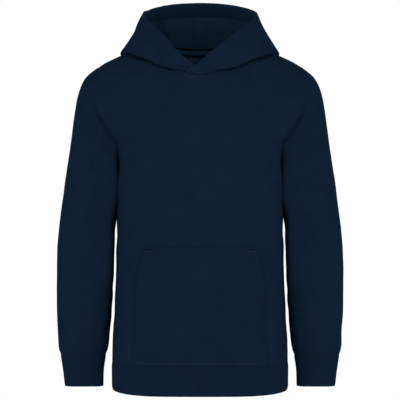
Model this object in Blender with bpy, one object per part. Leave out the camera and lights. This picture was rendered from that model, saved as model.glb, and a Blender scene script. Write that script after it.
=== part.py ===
"""A toddler's pullover hoodie as sewn cloth panels, filled out and hollow.

Metres, +Z up. The origin is at the centre of the neck, between the high points of the shoulders'
slope. The front faces -Y, and the wearer's left is at +X.
"""

import math

import bmesh
import bpy
import numpy as np
from mathutils import Vector
from mathutils.bvhtree import BVHTree

TINY = 1e-9

# Cloth
FLEECE = 0.002
RIB_CLOTH = 0.0026
TAPE = 0.001
SEAM_GAP = 0.0003
CREASE_ANGLE = 50.0
NAVY = (0.0056, 0.0137, 0.0296, 1.0)
NAVY_RIB = (0.0050, 0.0125, 0.0272, 1.0)

# Body
BAND_SEAM_Z = -0.3863
ARMPIT_Z = -0.1243
SHOULDER_X = 0.125
SHOULDER_Z = -0.0205
SHOULDER_SLOPE = 0.28
SHOULDER_CURVE = 2.2
SHOULDER_ROUND = 2.2
NECK_ROUND = 1.15
NECK_HALF_WIDTH = 0.064
NECK_FRONT_REACH = 0.064
NECK_BACK_REACH = 0.050
NECK_SIDE_Z = 0.005
NECK_FRONT_Z = -0.0355
NECK_BACK_Z = -0.003

# Armhole: a closed curve from the shoulder point over the front to the armpit and back.
ARMHOLE_HALF_DEPTH = 0.047
ARMHOLE_BULGE = 0.0155
ARMPIT_X = 0.106
ARMHOLE_BLEND = 4.0
ARMHOLE_FLARE = 7.0
ARMHOLE_MERGE = 3.0
SLEEVE_SEAM_GAP = 0.00032

# Grid
FINE_STEPS = 400
HALF_COLUMNS = 12
NECK_COLUMN = 6
ARMHOLE_ROWS = 10
RELAX_PASSES = 4

# The body below the armpits, a row for each level from the band's seam up.
BODY_COLUMNS = ("z", "half_width", "front_reach", "back_reach", "squareness")
BODY = (
    (BAND_SEAM_Z, 0.1088, 0.0740, 0.0700, 3.3),
    (-0.3590, 0.1081, 0.0755, 0.0705, 3.2),
    (-0.3320, 0.1066, 0.0768, 0.0705, 3.1),
    (-0.3060, 0.1052, 0.0775, 0.0705, 3.0),
    (-0.2850, 0.1044, 0.0778, 0.0710, 3.0),
    (-0.2645, 0.1038, 0.0778, 0.0715, 2.9),
    (-0.2440, 0.1035, 0.0778, 0.0722, 2.9),
    (-0.2200, 0.1031, 0.0776, 0.0730, 2.8),
    (-0.1960, 0.1030, 0.0772, 0.0738, 2.8),
    (-0.1720, 0.1037, 0.0766, 0.0745, 2.7),
    (-0.1480, 0.1049, 0.0758, 0.0748, 2.7),
    (ARMPIT_Z, 0.1060, 0.0748, 0.0745, 2.7),
)

# Hem band
BAND_HEIGHT = 0.0376
BAND_SIDE_RISE = 0.0045
BAND_SIDE_POWER = 5.0
BAND_FULLNESS = 0.0003
BAND_TURN_SHARE = 0.93
BAND_EDGE_DRAW = 0.0010
BAND_RIBS = 132
RIB_RISE = 0.0004

# Sleeves, a row for each section: its outer and inner points, how far it reaches to the front
# and back, how far its front and back points lie off the middle, and its place in depth.
SLEEVE_COLUMNS = ("outer_x", "outer_z", "inner_x", "inner_z", "half_depth", "mid_x", "mid_z", "y")
SLEEVE = (
    (0.1425, -0.0355, 0.1066, -0.1275, 0.0480, 0.0120, 0.0010, 0.0000),
    (0.1510, -0.0560, 0.1064, -0.1320, 0.0485, 0.0080, 0.0020, 0.0000),
    (0.1560, -0.0840, 0.1060, -0.1410, 0.0480, 0.0040, 0.0020, 0.0000),
    (0.1600, -0.1120, 0.1052, -0.1530, 0.0470, 0.0015, 0.0010, 0.0000),
    (0.1640, -0.1400, 0.1043, -0.1680, 0.0455, 0.0000, 0.0000, 0.0005),
    (0.1680, -0.1660, 0.1042, -0.1850, 0.0440, 0.0000, 0.0000, 0.0010),
    (0.1715, -0.1920, 0.1042, -0.2040, 0.0425, 0.0000, 0.0000, 0.0010),
    (0.1748, -0.2180, 0.1049, -0.2230, 0.0410, 0.0000, 0.0000, 0.0005),
    (0.1771, -0.2420, 0.1063, -0.2430, 0.0398, 0.0000, 0.0000, -0.0005),
    (0.1778, -0.2660, 0.1067, -0.2660, 0.0388, 0.0000, 0.0000, -0.0020),
    (0.1778, -0.2920, 0.1074, -0.2920, 0.0376, 0.0000, 0.0000, -0.0040),
    (0.1775, -0.3180, 0.1089, -0.3180, 0.0362, 0.0000, 0.0000, -0.0060),
    (0.1763, -0.3430, 0.1110, -0.3430, 0.0346, 0.0000, 0.0000, -0.0080),
    (0.1752, -0.3640, 0.1128, -0.3640, 0.0328, 0.0000, 0.0000, -0.0094),
    (0.1736, -0.3755, 0.1150, -0.3755, 0.0310, 0.0000, 0.0000, -0.0100),
)

# Cuffs, a row for each level.
CUFF_COLUMNS = ("outer_x", "inner_x", "z", "half_depth")
CUFF = (
    (0.1727, 0.1160, -0.3758, 0.0290),
    (0.1696, 0.1190, -0.3950, 0.0262),
    (0.1671, 0.1197, -0.4156, 0.0248),
)
CUFF_Y = -0.0100
CUFF_RIBS = 36

# Kangaroo pocket, on the front panel's rows and columns.
POCKET_TOP_ROW = 6
POCKET_MOUTH_ROW = 3
POCKET_TOP_HALF = 0.0675
POCKET_MOUTH_HALF = 0.0770
POCKET_FOOT_HALF = 0.0800
POCKET_GAP = 0.0004
POCKET_FULLNESS = 0.0020
POCKET_SWELL = 0.5
POCKET_INNER_COLUMNS = 5

# Hood, a row for each direction round the neck, 0 at the front and 180 at the back. From the neck
# seam the cloth lies out over the shoulders to a fold, turns up, and rises to the opening's edge.
HOOD_COLUMNS = (
    "azimuth", "crest", "fold_r", "fold_z", "roll",
    "belly_r", "belly_z", "high_r", "high_z", "edge_r", "edge_z",
)
HOOD = (
    (-15, 0.000, 0.0643, -0.0318, 0.0028, 0.0646, -0.0310, 0.0650, -0.0300, 0.0655, -0.0288),
    (0, 0.000, 0.0645, -0.0335, 0.0028, 0.0655, -0.0300, 0.0665, -0.0255, 0.0668, -0.0212),
    (15, 0.000, 0.0650, -0.0300, 0.0028, 0.0664, -0.0255, 0.0674, -0.0160, 0.0654, -0.0064),
    (24, 0.000, 0.0710, -0.0262, 0.0028, 0.0712, -0.0205, 0.0688, -0.0090, 0.0641, 0.0022),
    (35, 0.000, 0.0748, -0.0230, 0.0028, 0.0746, -0.0165, 0.0692, -0.0010, 0.0625, 0.0115),
    (60, 0.000, 0.0820, -0.0100, 0.0028, 0.0802, -0.0034, 0.0720, 0.0130, 0.0640, 0.0265),
    (90, 0.001, 0.0980, -0.0034, 0.0028, 0.0890, 0.0090, 0.0785, 0.0265, 0.0717, 0.0440),
    (115, 0.003, 0.1030, -0.0130, 0.0045, 0.0995, 0.0030, 0.0850, 0.0300, 0.0700, 0.0530),
    (140, 0.006, 0.1100, -0.0560, 0.0070, 0.1120, -0.0150, 0.0910, 0.0330, 0.0665, 0.0603),
    (160, 0.008, 0.1120, -0.0950, 0.0085, 0.1190, -0.0300, 0.0925, 0.0360, 0.0660, 0.0637),
    (180, 0.009, 0.1080, -0.1080, 0.0090, 0.1200, -0.0380, 0.0925, 0.0370, 0.0660, 0.0650),
)
HOOD_PLACES = ("fold", "belly", "high", "edge")
HOOD_START = -15.0
FOLD_FROM = 15.0
FOLD_TO = 30.0
HOOD_STEPS = 26
HOOD_LOWER_STEPS = 5
HOOD_ROLL_STEPS = 3
HOOD_UPPER_STEPS = 7
HOOD_CURVE_STEPS = 60
HOOD_SEAM_GAP_FRONT = 0.0006
HOOD_SEAM_GAP_SIDE = 0.0010
HOOD_LAID_GAP = 0.0012
LIFT_PASSES = 2
# How the cloth stands over the seam before it lies out: shares of the crest, out and up.
CREST_RISE = ((0.30, 0.75), (0.95, 1.00))
ROLL_IN = 1 - math.cos(math.pi / 4)
ROLL_UP = math.sin(math.pi / 4)
HOOD_HEM = 0.020
HOOD_HEM_CLOTH = 0.0032
HOOD_HEM_RAMP = 0.002
OVERLAP_FROM = 34.0
OVERLAP_TO = 18.0
OVERLAP_GAP = 0.0018
UNDER_DROP = 0.0040

# Neck tape
TAPE_BELOW = 0.0035
TAPE_ABOVE = 0.0065
TAPE_STEPS = 16
TAPE_GAP = 0.0005


def through(stations, values, at):
    """The smooth curve through a table's rows, read at other stations."""
    stations = np.asarray(stations, float)
    values = np.asarray(values, float)
    at = np.clip(np.asarray(at, float), stations[0], stations[-1])
    slopes = np.gradient(values, stations, axis=0)
    i = np.clip(np.searchsorted(stations, at) - 1, 0, len(stations) - 2)
    span = stations[i + 1] - stations[i]
    t = (at - stations[i]) / span
    if values.ndim > 1:
        t = t[:, None]
        span = span[:, None]
    start = (1 + 2 * t) * (1 - t) ** 2 * values[i] + t * (1 - t) ** 2 * span * slopes[i]
    end = t**2 * (3 - 2 * t) * values[i + 1] + t**2 * (t - 1) * span * slopes[i + 1]
    return start + end


def run(points):
    """The length along a polyline at each of its points."""
    return np.concatenate([[0], np.cumsum(np.linalg.norm(np.diff(points, axis=0), axis=1))])


def along(points, steps):
    """A polyline's points, spaced evenly by length into that many steps."""
    marks = run(points)
    at = np.linspace(0, marks[-1], steps + 1)
    return np.stack([np.interp(at, marks, points[:, k]) for k in range(points.shape[1])], axis=1)


def named(columns, row):
    return dict(zip(columns, row))


def unit(vectors):
    return vectors / np.maximum(np.linalg.norm(vectors, axis=-1, keepdims=True), TINY)


def grid_normals(grid, around):
    """The normals of a grid of points, rows by columns."""
    if around:
        across = np.roll(grid, -1, axis=1) - np.roll(grid, 1, axis=1)
    else:
        across = np.gradient(grid, axis=1)
    up = np.gradient(grid, axis=0)
    return unit(np.cross(across, up))


def clear_scene():
    for item in list(bpy.data.objects):
        bpy.data.objects.remove(item)


def cloth_material(name, colour):
    material = bpy.data.materials.new(name)
    material.use_nodes = True
    shader = material.node_tree.nodes["Principled BSDF"]
    shader.inputs["Base Color"].default_value = colour
    shader.inputs["Roughness"].default_value = 0.95
    shader.inputs["Metallic"].default_value = 0.0
    return material


def wall(name, outer, inner, around, colour=NAVY):
    """A closed cloth wall between two grids of points, open or closed round its columns."""
    rows, columns = outer.shape[:2]
    points = np.concatenate([outer.reshape(-1, 3), inner.reshape(-1, 3)])
    far = rows * columns
    last = columns if around else columns - 1
    faces = []
    for r in range(rows - 1):
        for c in range(last):
            a = r * columns + c
            b = r * columns + (c + 1) % columns
            faces.append((a, b, b + columns, a + columns))
            faces.append((far + a, far + a + columns, far + b + columns, far + b))
    for c in range(last):
        low = c
        low_next = (c + 1) % columns
        top = low + (rows - 1) * columns
        top_next = low_next + (rows - 1) * columns
        faces.append((low_next, low, far + low, far + low_next))
        faces.append((top, top_next, far + top_next, far + top))
    if not around:
        for r in range(rows - 1):
            a = r * columns
            b = a + columns
            faces.append((a, b, far + b, far + a))
            faces.append((b + columns - 1, a + columns - 1, far + a + columns - 1, far + b + columns - 1))
    mesh = bpy.data.meshes.new(name)
    mesh.from_pydata([tuple(p) for p in points], [], faces)
    work = bmesh.new()
    work.from_mesh(mesh)
    bmesh.ops.triangulate(work, faces=work.faces[:], quad_method="SHORT_EDGE")
    bmesh.ops.recalc_face_normals(work, faces=work.faces[:])
    work.to_mesh(mesh)
    work.free()
    mesh.shade_smooth()
    mesh.set_sharp_from_angle(angle=math.radians(CREASE_ANGLE))
    piece = bpy.data.objects.new(name, mesh)
    mesh.materials.append(cloth_material(name + "_cloth", colour))
    bpy.context.scene.collection.objects.link(piece)
    return piece


# ---------------------------------------------------------------- body


def even_angles(half_width, reach, squareness, steps):
    """Angles that divide a quarter of a squared ellipse evenly by length."""
    fine = np.linspace(0, math.pi / 2, FINE_STEPS)
    x = half_width * np.sin(fine) ** (2 / squareness)
    y = reach * np.cos(fine) ** (2 / squareness)
    marks = run(np.stack([x, y], axis=1))
    return np.interp(np.linspace(0, marks[-1], steps + 1), marks, fine)


CHEST = named(BODY_COLUMNS, BODY[-1])
ANGLES = even_angles(CHEST["half_width"], CHEST["front_reach"], CHEST["squareness"], HALF_COLUMNS)


def quarter(half_width, reach, squareness):
    """x and depth of the columns on a quarter of a body section, centre to side."""
    x = half_width * np.sin(ANGLES) ** (2 / squareness)
    depth = reach * np.clip(np.cos(ANGLES), 0, 1) ** (2 / squareness)
    depth[-1] = 0
    return x, depth


def neck_point(azimuth):
    """A point of the neck seam, by its azimuth in radians, 0 at the front."""
    front = np.cos(azimuth) > 0
    reach = np.where(front, NECK_FRONT_REACH, NECK_BACK_REACH)
    end_z = np.where(front, NECK_FRONT_Z, NECK_BACK_Z)
    z = NECK_SIDE_Z + (end_z - NECK_SIDE_Z) * np.cos(azimuth) ** 2
    return np.stack([NECK_HALF_WIDTH * np.sin(azimuth), -reach * np.cos(azimuth), z], axis=-1)


def neck_edge(azimuth):
    """A point of the panels' faceted neck edge, by its azimuth in radians."""
    step = math.pi / 2 / NECK_COLUMN
    low = math.floor(azimuth / step + TINY)
    part = azimuth / step - low
    ends = neck_point(np.array([low * step, (low + 1) * step]))
    return ends[0] * (1 - part) + ends[1] * part


def shoulder_z(x):
    """The height of the shoulder seam."""
    out = x - NECK_HALF_WIDTH
    return NECK_SIDE_Z - SHOULDER_SLOPE * out - SHOULDER_CURVE * out**2


def top_edge(side):
    """The panel's top edge on one half, from the centre of the neck to the shoulder point."""
    if side < 0:
        turns = np.linspace(0, math.pi / 2, NECK_COLUMN + 1)
    else:
        turns = np.linspace(math.pi, math.pi / 2, NECK_COLUMN + 1)
    neck = neck_point(turns)
    x = np.linspace(NECK_HALF_WIDTH, SHOULDER_X, HALF_COLUMNS - NECK_COLUMN + 1)[1:]
    shoulder = np.stack([x, np.zeros_like(x), shoulder_z(x)], axis=-1)
    shoulder[-1, 2] = SHOULDER_Z
    return np.concatenate([neck, shoulder])


def armhole_point(turn):
    """A point of the armhole seam, front half, from the armpit (0) to the shoulder (pi)."""
    middle_x = (SHOULDER_X + ARMPIT_X) / 2
    middle_z = (SHOULDER_Z + ARMPIT_Z) / 2
    rise = -np.cos(turn)
    x = middle_x + (SHOULDER_X - ARMPIT_X) / 2 * rise + ARMHOLE_BULGE * np.sin(turn) ** 2
    z = middle_z + (SHOULDER_Z - ARMPIT_Z) / 2 * rise
    return np.stack([x, -ARMHOLE_HALF_DEPTH * np.sin(turn), z], axis=-1)


def half_panel(side):
    """The outer points of half of the front (side -1) or back (side 1): rows up, centre to side."""
    rows = []
    for row in BODY:
        level = named(BODY_COLUMNS, row)
        reach = level["front_reach"] if side < 0 else level["back_reach"]
        x, depth = quarter(level["half_width"], reach, level["squareness"])
        rows.append(np.stack([x, side * depth, np.full_like(x, level["z"])], axis=-1))
    chest = rows[-1]
    squareness = CHEST["squareness"]
    top = top_edge(side)
    to_shoulder = np.clip(np.arange(HALF_COLUMNS + 1) / NECK_COLUMN, 0, 1) ** 2
    rounding = NECK_ROUND + (SHOULDER_ROUND - NECK_ROUND) * to_shoulder
    for k in range(1, ARMHOLE_ROWS + 1):
        turn = math.pi * k / ARMHOLE_ROWS
        edge = armhole_point(np.array(turn))
        rise = (1 - math.cos(turn)) / 2
        share = (1 - rise) * chest[:, 0] / ARMPIT_X + rise * top[:, 0] / SHOULDER_X
        bulge = edge[0] - (1 - rise) * ARMPIT_X - rise * SHOULDER_X
        x = (1 - rise) * chest[:, 0] + rise * top[:, 0] + bulge * share**ARMHOLE_FLARE
        round_off = (1 - rise**SHOULDER_ROUND) ** (1 / rounding)
        below = reach * np.clip(1 - share**squareness, 0, 1) ** (1 / squareness)
        depth = np.abs(top[:, 1]) + (below - np.abs(top[:, 1])) * round_off
        at_arm = np.abs(edge[1]) * share**ARMHOLE_BLEND
        depth = (depth**ARMHOLE_MERGE + at_arm**ARMHOLE_MERGE) ** (1 / ARMHOLE_MERGE)
        z = ARMPIT_Z + (top[:, 2] - ARMPIT_Z) * rise
        if k == ARMHOLE_ROWS:
            depth = np.abs(top[:, 1])
        rows.append(np.stack([x, side * depth, z], axis=-1))
    return np.array(rows)


def body_panel(side):
    """The outer and inner points of the front (side -1) or the back (side 1)."""
    half = half_panel(side)
    other = half[:, :0:-1] * np.array([-1, 1, 1])
    outer = np.concatenate([other, half], axis=1)
    pit = len(BODY) - 1
    for _ in range(RELAX_PASSES):
        beside = outer[pit - 1 : -1, :-2] + outer[pit - 1 : -1, 2:]
        above = outer[pit - 2 : -2, 1:-1] + outer[pit:, 1:-1]
        outer[pit - 1 : -1, 1:-1] = outer[pit - 1 : -1, 1:-1] / 2 + (beside + above) / 8
    normals = grid_normals(outer, around=False) * -side
    for edge, out in ((0, -1), (-1, 1)):
        normals[:pit, edge] = (out, 0, 0)
        arm = outer[pit:, edge]
        middle = np.array([out * (SHOULDER_X + ARMPIT_X) / 2, 0, (SHOULDER_Z + ARMPIT_Z) / 2])
        normals[pit:, edge] = unit(arm - middle)
    flat = np.abs(np.arange(outer.shape[1]) - HALF_COLUMNS) >= NECK_COLUMN
    normals[-1, flat, 1] = 0
    normals[0, :, 2] = 0
    normals = unit(normals)
    inner = outer - normals * FLEECE
    apart = np.array([0, side * SEAM_GAP / 2, 0])
    return outer + apart, inner + apart


def hem_band():
    """The doubled rib band below the body, its outer points raised in ribs."""
    low = named(BODY_COLUMNS, BODY[0])
    steps = 2 * BAND_RIBS
    levels = (
        (BAND_SEAM_Z - BAND_HEIGHT, -BAND_EDGE_DRAW),
        (BAND_SEAM_Z - BAND_HEIGHT * BAND_TURN_SHARE, 0.0),
        (BAND_SEAM_Z - SEAM_GAP, BAND_FULLNESS),
    )
    outer = []
    inner = []
    for z, wider in levels:
        ring = band_ring(low, wider, steps)
        below = (BAND_SEAM_Z - z) / BAND_HEIGHT
        at_side = (np.abs(ring[:, :1]) / low["half_width"]) ** BAND_SIDE_POWER
        ring = np.concatenate([ring, z + BAND_SIDE_RISE * below * at_side], axis=1)
        ring_out = unit(np.stack([
            np.roll(ring[:, 1], -1) - np.roll(ring[:, 1], 1),
            np.roll(ring[:, 0], 1) - np.roll(ring[:, 0], -1),
            np.zeros(steps),
        ], axis=1))
        rise = np.where(np.arange(steps) % 2 == 0, RIB_RISE, -RIB_RISE)[:, None]
        outer.append(ring + ring_out * rise)
        inner.append(ring - ring_out * (RIB_CLOTH + wider))
    return np.array(outer), np.array(inner)


def band_ring(low, wider, steps):
    """A body section's ring, anticlockwise from the front, spaced evenly."""
    turn = np.linspace(0, 2 * math.pi, 4 * FINE_STEPS + 1)
    across = np.sin(turn)
    ahead = np.cos(turn)
    power = 2 / low["squareness"]
    reach = np.where(ahead > 0, low["front_reach"], low["back_reach"]) + wider
    x = (low["half_width"] + wider) * np.sign(across) * np.abs(across) ** power
    y = -reach * np.sign(ahead) * np.abs(ahead) ** power
    return along(np.stack([x, y], axis=1), steps)[:-1]


# ---------------------------------------------------------------- sleeves


def sleeve(out):
    """The outer and inner points of one sleeve, rows from the cuff seam up to the armhole."""
    steps = 2 * ARMHOLE_ROWS
    turn = np.linspace(0, 2 * math.pi, steps + 1)[:-1]
    rings = []
    for row in reversed(SLEEVE):
        level = named(SLEEVE_COLUMNS, row)
        outer_point = np.array([level["outer_x"], level["y"], level["outer_z"]])
        inner_point = np.array([level["inner_x"], level["y"], level["inner_z"]])
        middle = (outer_point + inner_point) / 2
        across = (outer_point - inner_point) / 2
        shift = np.array([level["mid_x"], 0, level["mid_z"]])
        ring = middle - np.cos(turn)[:, None] * across
        ring = ring + np.sin(turn)[:, None] ** 2 * shift
        ring[:, 1] -= np.sin(turn) * level["half_depth"]
        rings.append(ring)
    armhole = armhole_point(turn)
    armhole[:, 0] += SLEEVE_SEAM_GAP
    rings.append(armhole)
    outer = np.array(rings)
    normals = grid_normals(outer, around=True)
    middle = np.array([(SHOULDER_X + ARMPIT_X) / 2, 0, (SHOULDER_Z + ARMPIT_Z) / 2])
    normals[-1] = unit(armhole_point(turn) - middle)
    normals[0, :, 2] = 0
    normals = unit(normals)
    centre = outer.mean(axis=1, keepdims=True)
    away = np.sign(((outer - centre) * normals).sum(axis=2).mean())
    normals[:-1] *= away
    inner = outer - normals * FLEECE
    mirror = np.array([out, 1, 1])
    return outer * mirror, inner * mirror


def cuff(out):
    """The outer and inner points of one rib cuff, rows from its end up."""
    steps = 2 * CUFF_RIBS
    turn = np.linspace(0, 2 * math.pi, steps + 1)[:-1]
    rise = np.where(np.arange(steps) % 2 == 0, RIB_RISE, -RIB_RISE)
    outer = []
    inner = []
    for row in reversed(CUFF):
        level = named(CUFF_COLUMNS, row)
        middle = (level["outer_x"] + level["inner_x"]) / 2
        half = (level["outer_x"] - level["inner_x"]) / 2
        for rings, grow in ((outer, rise), (inner, -RIB_CLOTH)):
            x = middle - (half + grow) * np.cos(turn)
            y = CUFF_Y - (level["half_depth"] + grow) * np.sin(turn)
            rings.append(np.stack([x, y, np.full(steps, level["z"])], axis=1))
    mirror = np.array([out, 1, 1])
    return np.array(outer) * mirror, np.array(inner) * mirror


# ---------------------------------------------------------------- pocket


def kangaroo_pocket(panel):
    """The pocket's inner and outer points, made from the front panel's points, moved out."""
    normals = grid_normals(panel, around=False)
    rows = []
    outs = []
    inner_columns = range(HALF_COLUMNS - POCKET_INNER_COLUMNS, HALF_COLUMNS + POCKET_INNER_COLUMNS + 1)
    for r in range(POCKET_TOP_ROW + 1):
        if r <= POCKET_MOUTH_ROW:
            share = r / POCKET_MOUTH_ROW
            half = POCKET_FOOT_HALF + (POCKET_MOUTH_HALF - POCKET_FOOT_HALF) * share
            open_edge = 0.0
        else:
            share = (r - POCKET_MOUTH_ROW) / (POCKET_TOP_ROW - POCKET_MOUTH_ROW)
            half = POCKET_MOUTH_HALF + (POCKET_TOP_HALF - POCKET_MOUTH_HALF) * share
            open_edge = math.sin(math.pi * share)
        x = panel[r, :, 0]
        at = np.interp([-half, half], x, np.arange(len(x)))
        at = np.array([at[0], *inner_columns, at[1]])
        low = np.floor(at).astype(int)
        part = (at - low)[:, None]
        points = panel[r, low] * (1 - part) + panel[r, low + 1] * part
        out = unit(normals[r, low] * (1 - part) + normals[r, low + 1] * part)
        across = np.sin(np.linspace(0, math.pi, len(at)))
        up = math.sin(math.pi * r / POCKET_TOP_ROW)
        full = POCKET_FULLNESS * up * np.maximum(across**POCKET_SWELL, open_edge)
        rows.append(points + out * (POCKET_GAP + full)[:, None])
        outs.append(out)
    inner = np.array(rows)
    outer = inner + np.array(outs) * FLEECE
    return outer, inner


# ---------------------------------------------------------------- hood


def hood_half(out, body):
    """The outer and inner points of a hood half; rows from the neck seam to the opening's edge."""
    table = np.array(HOOD, float)
    azimuths = np.linspace(HOOD_START, 180, HOOD_STEPS + 1)
    values = through(table[:, 0], table[:, 1:], azimuths)
    columns = []
    backs = []
    for azimuth, row in zip(azimuths, values):
        level = named(HOOD_COLUMNS, (azimuth, *row))
        outer, inner = hood_profile(level, out)
        columns.append(outer)
        backs.append(inner)
    outer = np.array(columns).transpose(1, 0, 2)
    inner = np.array(backs).transpose(1, 0, 2)
    laid = (slice(0, HOOD_LOWER_STEPS + HOOD_ROLL_STEPS), azimuths > FOLD_FROM)
    lift = lift_clear(outer[laid], body)
    outer[laid] += lift
    inner[laid] += lift
    for grid in (outer, inner):
        grid[:, -1, 0] = SEAM_GAP / 2
        grid *= np.array([out, 1, 1])
    return outer, inner


def hood_profile(level, out):
    """One section of the hood from the neck seam to the edge, as outer and inner points."""
    azimuth = math.radians(level["azimuth"])
    neck = neck_edge(azimuth)
    gap = HOOD_SEAM_GAP_SIDE if level["azimuth"] > FOLD_TO else HOOD_SEAM_GAP_FRONT
    start = np.array([math.hypot(neck[0], neck[1]), neck[2] + gap])
    places = np.array([(level[name + "_r"], level[name + "_z"]) for name in HOOD_PLACES])
    plain = np.concatenate([[start], places])
    path = folded_path(start, places, level["crest"], level["roll"])
    spread = run(path)
    marks = run(plain)
    plain = through(marks, plain, spread / spread[-1] * marks[-1])
    folded = np.clip((level["azimuth"] - FOLD_FROM) / (FOLD_TO - FOLD_FROM), 0, 1)
    path = plain * (1 - folded) + path * folded
    step = np.gradient(path, axis=0)
    normal = unit(np.stack([step[:, 1], -step[:, 0]], axis=1))
    normal[1:-1] = unit(normal[:-2] + 2 * normal[1:-1] + normal[2:])
    to_edge = run(path)[-1] - run(path)
    hem = np.clip((HOOD_HEM - to_edge) / HOOD_HEM_RAMP + 0.5, 0, 1)
    thick = FLEECE + (HOOD_HEM_CLOTH - FLEECE) * hem
    if out < 0:
        under = np.clip((OVERLAP_FROM - level["azimuth"]) / (OVERLAP_FROM - OVERLAP_TO), 0, 1)
        path = path - np.array([1, 0]) * under * (HOOD_HEM_CLOTH + OVERLAP_GAP)
        height = np.linspace(0, 1, len(path))
        path[:, 1] -= UNDER_DROP * under * height**2
    inner_path = path - normal * thick[:, None]
    turn = np.array([math.sin(azimuth), -math.cos(azimuth)])
    outer = np.concatenate([path[:, :1] * turn, path[:, 1:]], axis=1)
    inner = np.concatenate([inner_path[:, :1] * turn, inner_path[:, 1:]], axis=1)
    return outer, inner


def folded_path(start, places, crest, roll):
    """A section that stands over the neck seam, lies out to the fold, turns and rises."""
    fold = places[0]
    lower = [start]
    if crest > SEAM_GAP:
        lower.extend(start + crest * np.array(share) for share in CREST_RISE)
    lower.append(fold - roll)
    under = fold - roll * np.array([ROLL_IN, ROLL_UP])
    over = fold + roll * np.array([-ROLL_IN, ROLL_UP])
    upper = np.concatenate([[over], places[1:]])
    marks = run(upper)
    upper = through(marks, upper, np.linspace(0, marks[-1], HOOD_CURVE_STEPS))
    lower = along(np.array(lower), HOOD_LOWER_STEPS)
    return np.concatenate([lower, [under, fold], along(upper, HOOD_UPPER_STEPS)])


def lift_clear(grid, body):
    """How far each point of a grid above its first row moves, so that it and the middles of the
    cells beside it lie clear of the body's cloth."""
    moved = grid.copy()
    for _ in range(LIFT_PASSES):
        for part in (0.0, 0.5):
            for r in range(1, len(grid)):
                for c in range(grid.shape[1]):
                    for near in (-1, 1):
                        side = min(max(c + near, 0), grid.shape[1] - 1)
                        for row in (r - 1, min(r + 1, len(grid) - 1)):
                            beside = (moved[r, side] + moved[row, c]) / 2
                            point = moved[r, c] * (1 - part) + beside * part
                            moved[r, c] += clear_of(point, body)
    return moved - grid


def clear_of(point, body):
    """How far a point moves to lie clear of the body's cloth."""
    hit, normal, _, _ = body.find_nearest(Vector(point))
    height = (Vector(point) - hit).dot(normal)
    return np.array(normal * max(HOOD_LAID_GAP - height, 0.0))


def body_surface(front, back):
    """The outer face of front and back as one surface to measure from."""
    points = []
    faces = []
    for side, grid in ((-1, front), (1, back)):
        rows, columns = grid.shape[:2]
        base = len(points)
        points.extend(Vector(p) for p in grid.reshape(-1, 3))
        for r in range(rows - 1):
            for c in range(columns - 1):
                a = base + r * columns + c
                b = a + columns
                corners = (a, a + 1, b + 1, b) if side < 0 else (a, b, b + 1, a + 1)
                faces.append(corners)
    return BVHTree.FromPolygons(points, faces)


def neck_tape():
    """The narrow tape inside the back neck, over the seam."""
    turns = np.linspace(math.pi / 2, 3 * math.pi / 2, TAPE_STEPS + 1)
    seam = neck_point(turns)
    inward = np.stack([np.sin(turns), -np.cos(turns), np.zeros_like(turns)], axis=1)
    rows_out = []
    rows_in = []
    for height in (-TAPE_BELOW, (TAPE_ABOVE - TAPE_BELOW) / 2, TAPE_ABOVE):
        middle = seam + np.array([0, 0, height])
        rows_out.append(middle - inward * (FLEECE + TAPE_GAP))
        rows_in.append(middle - inward * (FLEECE + TAPE_GAP + TAPE))
    return np.array(rows_out), np.array(rows_in)


def build():
    clear_scene()
    front_outer, front_inner = body_panel(-1)
    back_outer, back_inner = body_panel(1)
    wall("body_front", front_outer, front_inner, around=False)
    wall("body_back", back_outer, back_inner, around=False)
    wall("hem_band", *hem_band(), around=True, colour=NAVY_RIB)
    for name, out in (("left", 1), ("right", -1)):
        wall("sleeve_" + name, *sleeve(out), around=True)
        wall("cuff_" + name, *cuff(out), around=True, colour=NAVY_RIB)
    wall("kangaroo_pocket", *kangaroo_pocket(front_outer), around=False)
    body = body_surface(front_outer, back_outer)
    wall("hood_left", *hood_half(1, body), around=False)
    wall("hood_right", *hood_half(-1, body), around=False)
    wall("neck_tape", *neck_tape(), around=False, colour=NAVY_RIB)


build()
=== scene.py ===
"""The looks of a toddler's pullover hoodie: cloth shells, ribbing, seams, stitches and finishes.

Metres, +Z up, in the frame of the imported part: the origin at the centre of the neck, the front
facing -Y and the wearer's left at +X.
"""

import math
from functools import partialmethod

import bpy
import numpy as np
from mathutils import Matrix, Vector
from mathutils.bvhtree import BVHTree


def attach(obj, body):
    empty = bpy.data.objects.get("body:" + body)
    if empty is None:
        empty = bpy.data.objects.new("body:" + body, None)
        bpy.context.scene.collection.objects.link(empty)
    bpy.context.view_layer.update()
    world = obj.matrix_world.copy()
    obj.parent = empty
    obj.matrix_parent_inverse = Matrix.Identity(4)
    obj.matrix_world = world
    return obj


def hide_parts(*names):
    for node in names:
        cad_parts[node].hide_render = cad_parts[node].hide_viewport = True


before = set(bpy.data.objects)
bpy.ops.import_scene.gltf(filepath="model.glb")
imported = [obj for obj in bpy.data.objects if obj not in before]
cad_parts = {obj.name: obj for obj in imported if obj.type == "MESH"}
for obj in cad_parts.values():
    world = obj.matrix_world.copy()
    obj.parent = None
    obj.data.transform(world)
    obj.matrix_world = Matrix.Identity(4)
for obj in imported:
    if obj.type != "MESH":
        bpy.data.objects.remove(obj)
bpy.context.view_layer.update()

TINY = 1e-9

# Cloth
FLEECE = 0.002
RIB_CLOTH = 0.0026
TAPE = 0.001
SEAM_GAP = 0.0003
CREASE_ANGLE = 50.0

# Body
BAND_SEAM_Z = -0.3863
ARMPIT_Z = -0.1243
SHOULDER_X = 0.125
SHOULDER_Z = -0.0205
SHOULDER_SLOPE = 0.28
SHOULDER_CURVE = 2.2
SHOULDER_ROUND = 2.2
NECK_ROUND = 1.15
NECK_HALF_WIDTH = 0.064
NECK_FRONT_REACH = 0.064
NECK_BACK_REACH = 0.050
NECK_SIDE_Z = 0.005
NECK_FRONT_Z = -0.0355
NECK_BACK_Z = -0.003

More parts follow.
